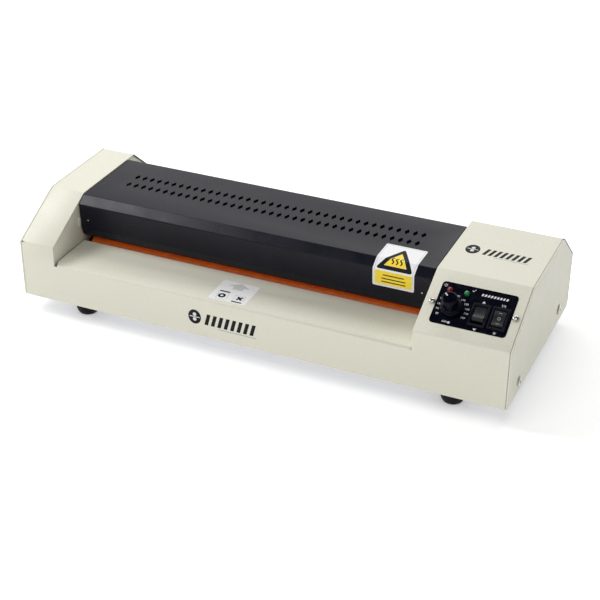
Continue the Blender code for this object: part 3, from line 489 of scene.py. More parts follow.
def loft(bm, sections, close=False):
    """Joins outlines of equal point counts, each given as (height, outline), along Z.

    The two ends are capped, unless close joins the last outline to the first."""
    rings = [[bm.verts.new((x, y, height)) for x, y in outline] for height, outline in sections]
    pairs = list(zip(rings, rings[1:]))
    if close:
        pairs.append((rings[-1], rings[0]))
    for low, high in pairs:
        bridge(bm, low, high)
    if not close:
        bm.faces.new(list(reversed(rings[0])))
        bm.faces.new(rings[-1])


def lofted(sections, close=False):
    """A body lofted through outlines, facing out."""
    bm = bmesh.new()
    loft(bm, sections, close)
    bmesh.ops.recalc_face_normals(bm, faces=bm.faces)
    return bm


def turned(profile, count=64, close=False):
    """A body turned about Z from (height, radius) points."""
    return lofted([(height, circle(radius, count)) for height, radius in profile], close)


def around(half, radius, steps=4):
    return rectangle((-half[0], -half[1]), half, radius, steps)


def shifted(points, x, y):
    return [(a + x, b + y) for a, b in points]


def stepped(rows):
    """A body lofted through round-cornered rectangles given as (height, half size, radius)."""
    return lofted([(height, around(half, radius)) for height, half, radius in rows])


def holes(obj, outlines, place, low=-3, high=3):
    """Cuts straight holes out of a piece."""
    bm = bmesh.new()
    for outline in outlines:
        loft(bm, [(low, outline), (high, outline)])
    cut(obj, bm, place)


def arc(centre, radius, start, end, steps=6):
    """Points of an arc as (height, radius) or (x, y) pairs; angles in degrees."""
    made = []
    for step in range(steps + 1):
        angle = math.radians(start + (end - start) * step / steps)
        made.append((centre[0] + radius * math.cos(angle), centre[1] + radius * math.sin(angle)))
    return made


def at_point(x, y, z, degrees=0, axis="X"):
    """Puts a body drawn about Z at a point of the casing, turned about an axis."""
    return CASING @ Matrix.Translation((x, y, z)) @ Matrix.Rotation(math.radians(degrees), 4, axis)


def along_x(x, y, z, way=1):
    """Puts a body turned about Z on an axis along X (or -X)."""
    return at_point(x, y, z, way * 90, "Y")


def dress(node, material, radius):
    """Gives a CAD node whose shape is right its finish, and softens its edges."""
    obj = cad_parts[node]
    obj.data.materials.clear()
    obj.data.materials.append(material)
    modifier(obj, "WELD", merge_threshold=0.00001)
    soften(obj, radius, 2, 40)


# ---- casing


def sheet_metal(name, bm, node):
    """Thickens a casing skin inwards and rounds its cut edges."""
    made = piece(name, bm, CREAM, replaces=[node])
    thicken(made, SHEET)
    ease(made)
    return made


def lower_wall(bm, y, slit_z, way=1):
    """The flat of the front wall, or of the rear one with way=-1, up to its slit."""
    bottom = [bm.verts.new((x, y, 0)) for x in WALL_XS]
    top = [bm.verts.new((x, y, slit_z)) for x in WALL_XS]
    for i in range(3):
        bm.faces.new((bottom[i], bottom[i + 1], top[i + 1], top[i])[::way])
    return top


def front_shell():
    """Front wall, shelf and hoods: one sheet, slit where the shelf bends away from the hoods."""
    left, right = HOOD_ENDS
    hood = [*SHELL_PATH, (DEPTH, REAR_BEND[1] - HOOD_RETURN)]
    hood = rounded(hood, [BEND_RADIUS] * 4)
    edge = (SHELF_EDGE[0], SHELF_EDGE[1] - SHELF_RETURN)
    shelf = [SHELL_PATH[0], (INK_ROOM, SHELF_FRONT_Z), SHELF_EDGE, edge]
    shelf = rounded(shelf, [BEND_RADIUS, BEND_RADIUS])
    slit_z = shelf[1][1]
    bm = bmesh.new()
    top = lower_wall(bm, INK_ROOM, slit_z)
    strip(bm, [None, *hood[1:]], left, BAY_LEFT, (top[0], top[1]))
    strip(bm, [None, *hood[1:]], BAY_RIGHT, right, (top[2], top[3]))
    strip(bm, [None, *shelf[2:]], *SHELF_XS, (top[1], top[2]))
    made = sheet_metal("casing_front_sheet", bm, "front_shell")
    bm = bmesh.new()
    for wall, width in NOTCH_WIDTHS.items():
        way = math.copysign(1, width)
        edge, inner, end = wall - way * 0.1, wall + width, wall + way * 0.8
        notch = [(edge, -1.0), (inner, -1.0), (inner, 0.8), (end, NOTCH_LENGTH), (edge, NOTCH_LENGTH)]
        loft(bm, [(slit_z - 0.4, notch), (slit_z + 3, notch)])
    relief = [(left - 1, -1), (left + 3.6, -1), (left + 3.6, 1.0), (left - 1, 2.2)]
    loft(bm, [(FRONT_BEND[1] - 0.9, relief), (FRONT_BEND[1] + 0.8, relief)])
    cut(made, bm)
    half = [size + GAP for size in SWITCH_HALF]
    outlines = [shifted(circle(SCREW_HOLE, 32), *at) for at in PANEL_SCREWS.values()]
    outlines += [shifted(circle(LAMP_HOLE, 32), *at) for at in LAMPS.values()]
    outlines.append(shifted(circle(KNOB_HOLE, 32), *KNOB_AT))
    outlines += [shifted(around(half, 0.5, 5), *at) for at in SWITCHES.values()]
    holes(made, outlines, SLOPE)


def rear_gaskets():
    """Black strips along the rear slopes: behind each side panel, and inside the left hood. They are
    painted shade for the shadow gaps between panel and hood.
    """
    start = (ROOF_REAR[0] + 0.2, ROOF_REAR[1] - 0.2)
    rear_y = REAR_BEND[0] - 0.05
    path = rounded([start, (rear_y, REAR_BEND[1]), (rear_y, 4.0)], [BEND_RADIUS])
    seam = SIDE_SHEET + SEAM - 0.04
    for name, low, high in (
        ("left_rear_gasket", 0.1, seam),
        ("right_rear_gasket", LENGTH - seam, LENGTH - 0.1),
        ("left_hood_shade_edging", BAY_LEFT + 0.02, BAY_LEFT + 0.5),
    ):
        bm = bmesh.new()
        strip(bm, path if "gasket" in name else path[:-1], low, high)
        # Matte black strips, painted shade in seams that would only fall dark.
        made = piece(name, bm, RUBBER_AND_PAINTED_SHADE)
        thicken(made, 0.9)
        settle(made)
        sharpen(made.data, 30)


def mirrored(point):
    return (2 * MIDDLE_Y - point[0], point[1])


def rear_panel():
    """Rear wall with the delivery tray bent in between the hoods."""
    edge = mirrored(SHELF_EDGE)
    tray = [(edge[0], edge[1] - SHELF_RETURN), edge, (DEPTH, SHELF_FRONT_Z), (DEPTH, 0)]
    tray = rounded(tray, [BEND_RADIUS, BEND_RADIUS])
    slit_z = tray[-2][1]
    top_z = REAR_BEND[1] - HOOD_RETURN - GAP
    bm = bmesh.new()
    top = lower_wall(bm, DEPTH, slit_z, -1)
    for i in (0, 2):
        upper = [bm.verts.new((x, DEPTH, top_z)) for x in WALL_XS[i:i + 2]]
        bm.faces.new((upper[0], upper[1], top[i + 1], top[i]))
    rows = strip(bm, tray[:-2], *SHELF_XS)
    bm.faces.new((*rows[-1], top[2], top[1]))
    made = sheet_metal("casing_rear_sheet", bm, "rear_panel")
    half = [size + GAP for size in INLET_BODY]
    holes(made, [shifted(around(half, 1.0, 5), *INLET_AT)], at_point(0, DEPTH, 0, 90))


def side_panels():
    """Flat ends of the casing, set in a little at the rear."""
    rear = (DEPTH - REAR_INSET, REAR_BEND[1] - 0.3)
    corners = [(0, 0.5), *HOOD_PATH[1:3], (ROOF_REAR[0] - 1.6, ROOF_REAR[1]), rear]
    outline = rounded([*corners, (rear[0], 0.5)], [BEND_RADIUS] * 4)
    outline = [(0.5, 0), *outline, (rear[0] - 0.5, 0)]
    place = CASING @ SIDEWAYS
    for side, low in (("left", 0), ("right", LENGTH - SIDE_SHEET)):
        bm = lofted([(low, outline), (low + SIDE_SHEET, outline)])
        name = f"{side}_side_panel"
        made = piece(f"{name}_sheet", bm, CREAM, place=place, replaces=[name])
        ease(made, 0.4, 3)
        outlines = [shifted(circle(2.3, 24), *at) for at in SIDE_SCREWS.values()]
        holes(made, outlines, place, low - 1, low + 3)


def cover_path():
    """Outer skin of the cover from lip to lip, as (y, z) points."""
    rear = [mirrored(p) for p in reversed(COVER_FACE)]
    rear[0] = (rear[0][0], rear[0][1] + COVER_REAR_RISE)
    radii = [*COVER_RADII, *reversed(COVER_RADII)]
    return rounded([*COVER_FACE, *rear], radii, 8)


def top_cover():
    """Bent black sheet with two rows of lozenge vents."""
    bm = bmesh.new()
    strip(bm, cover_path(), *COVER_ENDS)
    made = piece("cover_sheet", bm, BLACK_PAINT, replaces=["top_cover"])
    thicken(made, SHEET)
    ease(made, 0.3)
    tilt = math.atan2(COVER_REAR_RISE, 2 * (MIDDLE_Y - COVER_FACE[-1][0]))
    start = Matrix.Translation((0, *COVER_FACE[-1])) @ Matrix.Rotation(tilt, 4, "X")
    a, b = VENT_HALF
    xs = [VENT_FIRST_X + column * VENT_PITCH for column in range(VENT_COLUMNS)]
    ys = [y - COVER_FACE[-1][0] for y in VENT_ROWS_Y]
    lozenges = [[(x - a, y), (x, y - b), (x + a, y), (x, y + b)] for y in ys for x in xs]
    holes(made, lozenges, CASING @ start, -3, 1)


def vent_baffle():
    """Black channel under the vents: painted shade, a dark sheet that keeps the lit rollers from
    showing through the vents.
    """
    (low, floor_z), (high, top_z) = VENT_SHADE_CHANNEL
    path = rounded([(low, top_z), (low, floor_z), (high, floor_z), (high, top_z)], [2.0, 2.0])
    bm = bmesh.new()
    strip(bm, path, VENT_FIRST_X - 8, VENT_FIRST_X + VENT_COLUMNS * VENT_PITCH + 2)
    # Dark sheet as painted shade inside the vents.
    made = piece("vent_baffle", bm, BLACK_PAINT)
    thicken(made, 0.8, 0)
    ease(made, 0.2)


def cover_fixings():
    """Domed rivets low on the cover's ends, and the clips that hold it to the walls."""
    rivet = [(-0.2, 0.9), (0.15, 0.85), (0.35, 0.65), (0.5, 0.35), (0.55, 0.05)]
    for side, x in RIVET_XS.items():
        for row, (y, z), turn in (("front", RIVET_YZ, 90), ("rear", mirrored(RIVET_YZ), -90)):
            name = f"cover_rivet_{row}_{side}"
            bm = turned(rivet, 24)
            piece(name, bm, CHROME, place=at_point(x, y, z, turn))
    for side, x in (("left", BAY_LEFT - 0.35), ("right", BAY_RIGHT - 0.55)):
        clip = rounded([(49.9, 71.0), (48.3, 66.0), (49.9, 61.0)], [6.0])
        outline = [*clip, (56.0, 61.0), (56.0, 71.0)]
        bm = lofted([(x, outline), (x + 0.9, outline)])
        made = piece(f"cover_clip_{side}", bm, CREAM, place=CASING @ SIDEWAYS)
        ease(made, 0.25)


# ---- rollers, inside


def rollers():
    """Silicone sleeves on steel shafts, with chamfered and rounded ends."""
    for name, (y, z) in ROLLERS.items():
        body, place = f"{name}_roller", along_x(0, y, z)
        sleeve, shaft = f"{name}_sleeve", f"{name}_shaft"
        low, high = (corner.x for corner in box_of(sleeve))
        rim = SLEEVE_RIM
        profile = [
            (low, SLEEVE_BORE),
            *arc((low + rim, SLEEVE_RADIUS - rim), rim, 180, 90, 4),
            *arc((high - rim, SLEEVE_RADIUS - rim), rim, 90, 0, 4),
            (high, SLEEVE_BORE),
        ]
        bm = turned(profile, 96, True)
        made = piece(f"{sleeve}_rubber", bm, SILICONE, body, place, [sleeve])
        sharpen(made.data, 50)
        start, end = (corner.x for corner in box_of(shaft))
        low, high = low - 1, high + 1
        thin, thick = JOURNAL_RADIUS, CORE_RADIUS
        profile = [
            (start, thin - JOURNAL_CHAMFER), (start + JOURNAL_CHAMFER, thin),
            (low, thin), (low, thick - CORE_CHAMFER), (low + CORE_CHAMFER, thick),
            (high - CORE_CHAMFER, thick), (high, thick - CORE_CHAMFER), (high, thin),
            (end - JOURNAL_CHAMFER, thin), (end, thin - JOURNAL_CHAMFER),
        ]
        bm = turned(profile, 48)
        piece(f"{shaft}_steel", bm, SHAFT_STEEL, body, place, [shaft])


def coil(low, high, turns=7, per_turn=20, sides=8, wire=0.5):
    """A coil of round wire that fills a box; wire is its radius."""
    centre = (low + high) / 2
    radius = (high.y - low.y) / 2 - wire
    rise = high.z - low.z - 2 * wire
    count = turns * per_turn
    bm = bmesh.new()
    rings = []
    for i in range(count + 1):
        angle = 2 * math.pi * i / per_turn
        height = low.z + wire + rise * (i / count)
        loop = []
        for x, z in circle(wire, sides):
            reach = radius + x
            point = (reach * math.cos(angle), reach * math.sin(angle))
            loop.append(bm.verts.new((centre.x + point[0], centre.y + point[1], height + z)))
        rings.append(loop)
    for one, two in zip(rings, rings[1:]):
        bridge(bm, one, two)
    bm.faces.new(rings[0])
    bm.faces.new(rings[-1])
    bmesh.ops.recalc_face_normals(bm, faces=bm.faces)
    return bm


def springs():
    """Coil springs that fill the boxes of the CAD springs."""
    for side in ("left", "right"):
        for row in ROLLER_YS:
            node = f"{row}_spring_{side}"
            low, high = box_of(node)
            bm = coil(low, high)
            made = piece(f"{node}_coil", bm, SHAFT_STEEL, replaces=[node])
            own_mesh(made)


def carried_over():
    """CAD nodes whose shape is right: walls, frames, bushes, gears, plates, motor."""
    for side in ("left", "right"):
        dress(f"{side}_inner_wall", CREAM, 0.3)
        dress(f"{side}_frame", ZINC, 0.25)
        for roller in ROLLERS:
            dress(f"{roller}_bush_{side}", BUSH_PLASTIC, 0.25)
    for roller in ROLLERS:
        dress(f"{roller}_gear", GEAR_PLASTIC, 0.15)
    dress("idler_gear", GEAR_PLASTIC, 0.15)
    dress("motor_pinion", SHAFT_STEEL, 0.1)
    dress("motor", ZINC, 0.3)
    dress("base_plate", ZINC, 0.3)
    for level in ROLLER_ZS:
        dress(f"{level}_heating_plate", ALUMINIUM, 0.4)
        dress(f"{level}_heater", MICA, 0.3)
    dress("thermostat", BLACK_PLASTIC, 0.3)


# ---- controls


def slope_at(x, u, n=0.0, turn=0.0):
    """Places a body drawn about Z on the slope."""
    return SLOPE @ Matrix.Translation((x, u, n)) @ Matrix.Rotation(math.radians(turn), 4, "Z")


def knob():
    """Two-tier knob: a smooth skirt under a fluted grip with a rounded top."""
    flutes, count = 24, 144
    depths = [(0.5 - 0.5 * math.cos(2 * math.pi * flutes * i / count)) ** 2 for i in range(count)]

    def section(radius, groove):
        reaches = [radius - groove * depth for depth in depths]
        return [(x * reach, y * reach) for (x, y), reach in zip(circle(1, count), reaches)]

    heights = [
        (1.0, 9.9, 0), (1.3, 10.2, 0), (5.0, 10.0, 0), (5.6, 9.8, 0), (6.0, 9.3, 0),
        (6.2, 8.6, 0), (6.7, 8.1, 0.05), (7.6, 7.95, 0.16), (15.8, 7.45, 0.16), (16.8, 7.35, 0.1),
        (17.6, 7.0, 0.05), (18.1, 6.55, 0), (18.35, 6.0, 0), (18.4, 5.5, 0),
    ]
    bm = lofted([(height, section(radius, groove)) for height, radius, groove in heights])
    place = slope_at(*KNOB_AT)
    replaced = ["temperature_knob"]
    made = piece(
        "temperature_knob_grip", bm, BLACK_PLASTIC, "knob", place, replaced
    )
    holes(made, [circle(3.3, 32)], place, 0.5, 10.3)
    foot = rectangle((2.8, -0.6), (6.5, 0.6), 0.3, 3)
    top = rectangle((2.9, -0.5), (6.4, 0.5), 0.2, 3)
    bm = lofted([(17.6, foot), (18.4, foot), (18.5, top)])
    place = slope_at(*KNOB_AT, turn=POINTER_DEG)
    piece("temperature_knob_pointer", bm, WHITE_INK, "knob", place)


def rocker_height(u, lips):
    """Top of a rocker above its pivot: a shallow hollow between two raised lips."""
    hollow, rise = 1.5, 0.8
    lip = lips[0] if u < 0 else lips[1]
    return hollow + rise * min(1.0, (abs(u) / lip) ** 2)


def rocker_outline(lips, steps=16):
    """Side view of a rocker about its pivot: a hollow top, steep ends and a narrow foot."""
    lower, upper = lips
    reach = min(ROCKER_REACH, lower + 2.0)
    top = [(-reach + 0.25, -0.6), (-lower - 0.6, 1.5)]
    for i in range(steps + 1):
        u = -lower + (lower + upper) * i / steps
        top.append((u, rocker_height(u, lips)))
    top += [(upper + 0.4, 1.4), (ROCKER_REACH - 0.25, -0.6)]
    upper_end = arc((0, 0), ROCKER_REACH, -9, -20, 2)
    lower_end = [(-u, n) for u, n in reversed(arc((0, 0), reach, -9, -20, 2))]
    return [*top, *upper_end, (3.0, -4.5), (-3.0, -4.5), *lower_end]


def switches():
    """Bezels with a raised frame and a deep well, and rockers with a shallow V face."""
    bezel = [
        (-17, SWITCH_HALF, 0.8), (GAP, SWITCH_HALF, 0.8),
        (GAP, BEZEL_HALF, 1.2), (1.2, BEZEL_HALF, 1.2),
        (1.6, (8.3, 11.9), 1.2), (1.85, (8.0, 11.6), 1.1), (1.9, (7.7, 11.3), 1.0),
        (1.9, (6.5, 10.1), 0.8), (1.8, (6.25, 9.85), 0.7), (1.1, (6.1, 9.7), 0.7),
        (1.0, (5.8, 9.4), 0.6), (-7, CAVITY_HALF, 0.6),
    ]
    half = CAVITY_HALF[0] - GAP
    for name, at in SWITCHES.items():
        node = f"{name}_body"
        piece(
            f"{node}_bezel", stepped(bezel), BEZEL_PLASTIC,
            place=slope_at(*at), replaces=[node],
        )
        outline = rocker_outline(ROCKER_LIPS[name])
        bm = lofted([(-half, outline), (half, outline)])
        node = f"{name}_rocker"
        body = f"{name.split('_')[0]}_rocker"
        tilt = Matrix.Rotation(math.radians(ROCKER_REST_DEG[name]), 4, "X")
        place = slope_at(*at, ROCKER_AXIS) @ tilt @ SIDEWAYS
        made = piece(f"{node}_cap", bm, ROCKER_PLASTIC, body, place, [node])
        ease(made, 0.45, 3, 40)


def lamps():
    """Round lenses with a collar behind the sheet."""
    dome = arc((1.2, 0), 2.5, 78, 6)
    profile = [(-8, 2.5), (-3.0, 2.5), (-3.0, 3.3), (-1.5, 3.3), (-1.5, 2.5), (1.2, 2.5)]
    profile += [*dome, (3.7, 0.05)]
    for name, material, slot in (
        ("power_lamp", RED_LENS, "red_lens"),
        ("ready_lamp", GREEN_LENS, "green_lens"),
    ):
        place = slope_at(*LAMPS[name])
        piece(f"{name}_lens", turned(profile, 40), material, place=place, replaces=[name])


def cross(reach, half):
    """Outline of an upright cross."""
    arm = [(reach, -half), (reach, half), (half, half)]
    made = []
    for quarter in range(4):
        turn = Matrix.Rotation(quarter * math.pi / 2, 2)
        made += [tuple(turn @ Vector(p)) for p in arm]
    return made


def phillips_screw(place, node, head, proud, shank, length, washer=0.0):
    """Domed screw with a cross recess, and a washer if it has a radius, head up along Z."""
    seat = GAP
    profile = [(-length, shank - 0.4), (-length + 0.5, shank), (seat, shank)]
    if washer:
        profile += [(seat, washer - 0.1), (seat + 0.1, washer)]
        profile += [(seat + 0.5, washer), (seat + 0.6, washer - 0.15)]
        seat += 0.6
    profile += [(seat, head - 0.15), (seat + 0.12, head)]
    for x, y in arc((0, 0), 1, 0, 84, 7):
        profile.append((seat + 0.3 + (proud - seat - 0.3) * y, head * x))
    bm = turned(profile, 40)
    made = piece(f"{node}_head", bm, CHROME, place=place, replaces=[node])
    top = cross(0.6 * head, 0.14 * head)
    low = cross(0.36 * head, 0.09 * head)
    cut(made, lofted([(proud - 1.1, low), (proud + 0.2, top), (proud + 1, top)]), place)


def screws():
    """Two beside the control film and four in the side panels, each turned its own way."""
    for side, turn in (("left", 25), ("right", 62)):
        place = slope_at(*PANEL_SCREWS[side], turn=turn)
        phillips_screw(place, f"control_screw_{side}", 3.3, 2.3, 1.5, 6)
    for side, x, way in (("left", 0, -1), ("right", LENGTH, 1)):
        for row, degrees in (("front", 35), ("rear", 70)):
            turn = Matrix.Rotation(math.radians(degrees), 4, "Z")
            place = along_x(x, *SIDE_SCREWS[row], way) @ turn
            phillips_screw(place, f"{side}_screw_{row}", 4.2, 1.8, 1.9, 9, 5.0)


def power_inlet():
    """Appliance inlet: a round-cornered flange, a keyed mouth and three blades."""
    x, z = INLET_AT
    place = at_point(x, DEPTH, z, -90)
    proud = INLET_PROUD
    bm = stepped([
        (-24, INLET_BODY, 1.0), (GAP, INLET_BODY, 1.0),
        (GAP, (15.5, 12.5), 2.2), (proud - 0.5, (15.5, 12.5), 2.2),
        (proud - 0.15, (15.35, 12.35), 2.1), (proud, (15.0, 12.0), 2.0),
    ])
    made = piece(
        "power_inlet_body", bm, BLACK_PLASTIC,
        place=place, replaces=["power_inlet"],
    )

    def mouth(grow):
        a, b, key = 12.0 + grow, 8.3 + grow, 4.0
        return [(-a, b), (a, b), (a, key - b), (a - key, -b), (key - a, -b), (-a, key - b)]

    def blade(x, z, scale):
        return [(x + a * scale, z + b * scale) for a, b in ((-1, 2), (1, 2), (1, -2), (-1, -2))]

    depths = [(proud - 17, mouth(0)), (proud - 0.5, mouth(0)), (proud + 0.2, mouth(0.6))]
    cut(made, lofted(depths), place)
    bm = bmesh.new()
    for at in ((-7, 0.5), (0, -3.5), (7, 0.5)):
        full, tip = blade(*at, 1), blade(*at, 0.55)
        loft(bm, [(proud - 18, full), (proud - 4, full), (proud - 3, tip)])
    bmesh.ops.recalc_face_normals(bm, faces=bm.faces)
    piece("power_inlet_blades", bm, SHAFT_STEEL, place=place)


def feet():
    """Bowl-shaped rubber feet with a flat tread and a recessed screw."""
    drop = -FLOOR_Z
    tread, bulge = 8, 5
    profile = [(-8, 0.05), (-8, 3.3), (-drop + 0.3, 3.5), (-drop, 3.9), (-drop, tread - 0.4)]
    for x, y in arc((0, 0), 1, 8, 85, 11):
        profile.append((-GAP - (drop - GAP) * x, tread + bulge * y))
    profile += [(-GAP, tread + bulge - 0.2), (-GAP, 0.05)]
    head = [(-8.05, 2.6), (-8.4, 2.6), (-9.2, 2.2), (-9.5, 1.4), (-9.55, 0.05)]
    for row, y in FOOT_YS.items():
        for side, x in FOOT_XS.items():
            node = f"{row}_{side}_foot"
            place = at_point(x, y, 0)
            bm = turned(profile)
            piece(f"{node}_rubber", bm, RUBBER_AND_PAINTED_SHADE, place=place, replaces=[node])
            piece(f"{node}_screw", turned(head, 32), ZINC, place=place)


# ---- printed film


def on_slope(x, u, n):
    return Vector((x, u, n))


def on_front(x, z, n):
    return Vector((x, INK_ROOM - n, z))


def rising(start, end):
    """The surface that rises from one (y, z) point to another."""
    slope = (end[1] - start[1]) / (end[0] - start[0])
    return lambda x, y, n: Vector((x, y, start[1] + slope * (y - start[0]) + n))


on_shelf = rising((0, SHELF_FRONT_Z), SHELF_EDGE)
on_roof = rising(ROOF_FRONT, ROOF_REAR)


def cover_stations():
    """The cover's path with the length from the front lip at every point."""
    path = [Vector(point) for point in cover_path()]
    made = [(0.0, path[0])]
    for a, b in zip(path, path[1:]):
        made.append((made[-1][0] + (b - a).length, b))
    return made


STATIONS = cover_stations()


def on_cover(x, s, n):
    """A point s mm along the cover's skin from its front lip, n mm above it."""
    for (start, a), (end, b) in zip(STATIONS, STATIONS[1:]):
        if s <= end:
            break
    way = (b - a).normalized()
    y, z = a + way * (s - start) + Vector((-way.y, way.x)) * n
    return Vector((x, y, z))


def polygon(bm, points):
    bm.faces.new([bm.verts.new((x, y, 0)) for x, y in points])


def ring(bm, outer, inner):
    """The band between two outlines of equal point counts."""
    bridge(bm, *([bm.verts.new((x, y, 0)) for x, y in outline] for outline in (outer, inner)))


def stroke(bm, points, width):
    """A line of even width through points."""
    path = [Vector(p) for p in points]
    ways = [(b - a).normalized() for a, b in zip(path, path[1:])]
    ways = [ways[0], *ways, ways[-1]]
    sides = []
    for point, before, after in zip(path, ways, ways[1:]):
        normal = Vector((-before.y - after.y, before.x + after.x)).normalized()
        reach = width / 2 / max(0.5, normal.dot(Vector((-after.y, after.x))))
        sides.append([bm.verts.new((*(point + normal * reach * k), 0)) for k in (1, -1)])
    for (a, b), (c, d) in zip(sides, sides[1:]):
        bm.faces.new((a, b, d, c))


def spoke(bm, x, y, reach, degrees, width):
    """A line through a point, reach mm to each side."""
    turn = math.radians(degrees)
    a, b = reach * math.cos(turn), reach * math.sin(turn)
    stroke(bm, [(x - a, y - b), (x + a, y + b)], width)


def bar(bm, low, high):
    polygon(bm, rectangle(low, high, min(high[0] - low[0], high[1] - low[1]) / 2.2, 3))


def wave(x, y, swing, pace, rises):
    return [(x + swing * math.sin(pace * rise), y + rise) for rise in rises]


def number(bm, text, centre, size):
    """Digits on a dial, drawn from the built-in font."""
    curve = bpy.data.curves.new("digits", "FONT")
    curve.body = text
    curve.size = size
    curve.align_x = curve.align_y = "CENTER"
    curve.resolution_u = 3
    holder = bpy.data.objects.new("digits", curve)
    mesh = bpy.data.meshes.new_from_object(holder)
    mesh.transform(Matrix.Translation((*centre, 0)))
    bm.from_mesh(mesh)
    bpy.data.objects.remove(holder)
    bpy.data.curves.remove(curve)
    bpy.data.meshes.remove(mesh)


def film(
    name, bm, surface, lift, material,
    thickness=0.04, body="casing", place=CASING,
):
    """Lays flat art on a surface and gives it the thickness of film or ink."""
    for face in bm.faces:
        face.normal_update()
        if face.normal.z < 0:
            face.normal_flip()
    if surface is on_cover:
        ys = [vertex.co.y for vertex in bm.verts]
        for s, _ in STATIONS:
            if min(ys) < s < max(ys):
                geometry = [*bm.verts, *bm.edges, *bm.faces]
                bmesh.ops.bisect_plane(
                    bm, geom=geometry, plane_co=(0, s, 0), plane_no=(0, 1, 0), dist=1e-4
                )
    for vertex in bm.verts:
        vertex.co = surface(vertex.co.x, vertex.co.y, lift)
    made = piece(name, bm, material, body, place)
    thicken(made, thickness, 1)
    settle(made)
    sharpen(made.data, 30)
    return made


def emblems():
    """Marks on the front wall and the roof: a disc with two rollers, slanted bars, a line."""
    for name, surface, x, y, wide, tall in (
        ("front", on_front, 195.4, 20.4, 58.0, 1.08),
        ("roof", on_roof, 434.6, 108.0, 48.0, 1.2),
    ):
        bm = bmesh.new()
        polygon(bm, [(x + 0.95 * a, y + tall * b) for a, b in circle(7.2, 48)])
        start, count, slant, foot = x + 10.4, 8, 3.2, y - 6.4
        pitch = (wide - slant) / count
        for k in range(count):
            low = start + k * pitch
            high = low + 0.56 * pitch
            head = foot + 12
            polygon(bm, [(low, foot), (high, foot), (high + slant, head), (low + slant, head)])
        film(f"{name}_emblem", bm, surface, 0.01, BLACK_INK, 0.02)
        bm = bmesh.new()
        for side in (1, -1):
            polygon(bm, shifted(circle(1.9, 28), x, y + side * 2.7))
        stroke(bm, [(x - 5.4, y), (x + 5.4, y)], 0.9)
        film(f"{name}_emblem_rollers", bm, surface, 0.035, WHITE_INK, 0.015)
        bm = bmesh.new()
        stroke(bm, [(start + 0.25 * wide, foot - 2.0), (start + 0.95 * wide, foot - 2.0)], 0.9)
        film(f"{name}_emblem_line", bm, surface, 0.01, GREY_INK, 0.02)


def control_label():
    """Black film under the controls, with holes for them, and the dial's numbers."""
    bm = bmesh.new()
    polygon(bm, rectangle(*LABEL, 3.2, 8))
    made = film("control_label", bm, on_slope, 0.02, LABEL_FILM, 0.22, place=SLOPE)
    outlines = [shifted(circle(LAMP_HOLE - 0.1, 32), *at) for at in LAMPS.values()]
    outlines.append(shifted(circle(KNOB_HOLE, 32), *KNOB_AT))
    outlines += [shifted(around((7.0, 10.5), 0.5), *at) for at in SWITCHES.values()]
    holes(made, outlines, SLOPE, -1, 1)
    bm = bmesh.new()
    for value, at in DIAL.items():
        number(bm, str(value), at, 2.9)
    film("dial_numbers", bm, on_slope, 0.25, WHITE_INK, place=SLOPE)


def control_symbols():
    """Power, ready, bars, arrows, heat waves, a star for cold and a thermometer, in white."""
    bm = bmesh.new()
    x, u = 429.8, 54.2
    stroke(bm, shifted(arc((0, 0), 1.3, 125, 415, 16), x, u), 0.4)
    stroke(bm, [(x, u + 0.2), (x, u + 1.7)], 0.4)
    x, u = 456.4, 54.2
    stroke(bm, [(x - 1.5, u), (x - 0.4, u - 1.1), (x + 1.6, u + 1.4)], 0.45)
    for k in range(9):
        start = 464.0 + 2.85 * k
        polygon(bm, [(start, 50.6), (start + 1.7, 50.6), (start + 2.4, 53.0), (start + 0.7, 53.0)])
    x, u = SWITCHES["drive_switch"]
    polygon(bm, shifted([(-1.7, -1.0), (1.7, -1.0), (0, 1.3)], x, u + 14.6))
    polygon(bm, shifted([(-1.7, 1.0), (0, -1.3), (1.7, 1.0)], x, u - 14.6))
    x, u = SWITCHES["heat_switch"]
    for k in (-1.5, 0, 1.5):
        stroke(bm, wave(x + k, u + 13.5, 0.35, 2.6, [0.4 * i for i in range(7)]), 0.4)
    for degrees in (0, 60, 120):
        spoke(bm, x, u - 14.6, 1.5, degrees, 0.36)
    x, u = 441.0, 16.4
    stroke(bm, [(x - 3.2, u), (x + 2.6, u)], 0.7)
    polygon(bm, shifted(circle(1.25, 20), x + 3.2, u))
    for k in (-2.2, -0.9, 0.4):
        stroke(bm, [(x + k, u + 0.7), (x + k, u + 1.5)], 0.35)
    film("control_symbols", bm, on_slope, 0.25, WHITE_INK, place=SLOPE)


def rocker_symbols():
    """An arc, a ring and an arc down the heat switch's rocker."""
    bm = bmesh.new()
    stroke(bm, shifted(arc((0, 0), 1.5, 25, 155, 10), 0, 4.4), 0.36)
    ring(bm, circle(1.5, 28), circle(1.1, 28))
    stroke(bm, shifted(arc((0, 0), 1.5, 205, 335, 10), 0, -4.4), 0.36)

    def on_rocker(x, u, n):
        return Vector((x, u, rocker_height(u, ROCKER_LIPS["heat_switch"]) + n))

    place = slope_at(*SWITCHES["heat_switch"], ROCKER_AXIS)
    film("heat_rocker_symbols", bm, on_rocker, 0.02, GREY_INK, 0.05, "heat_rocker", place)


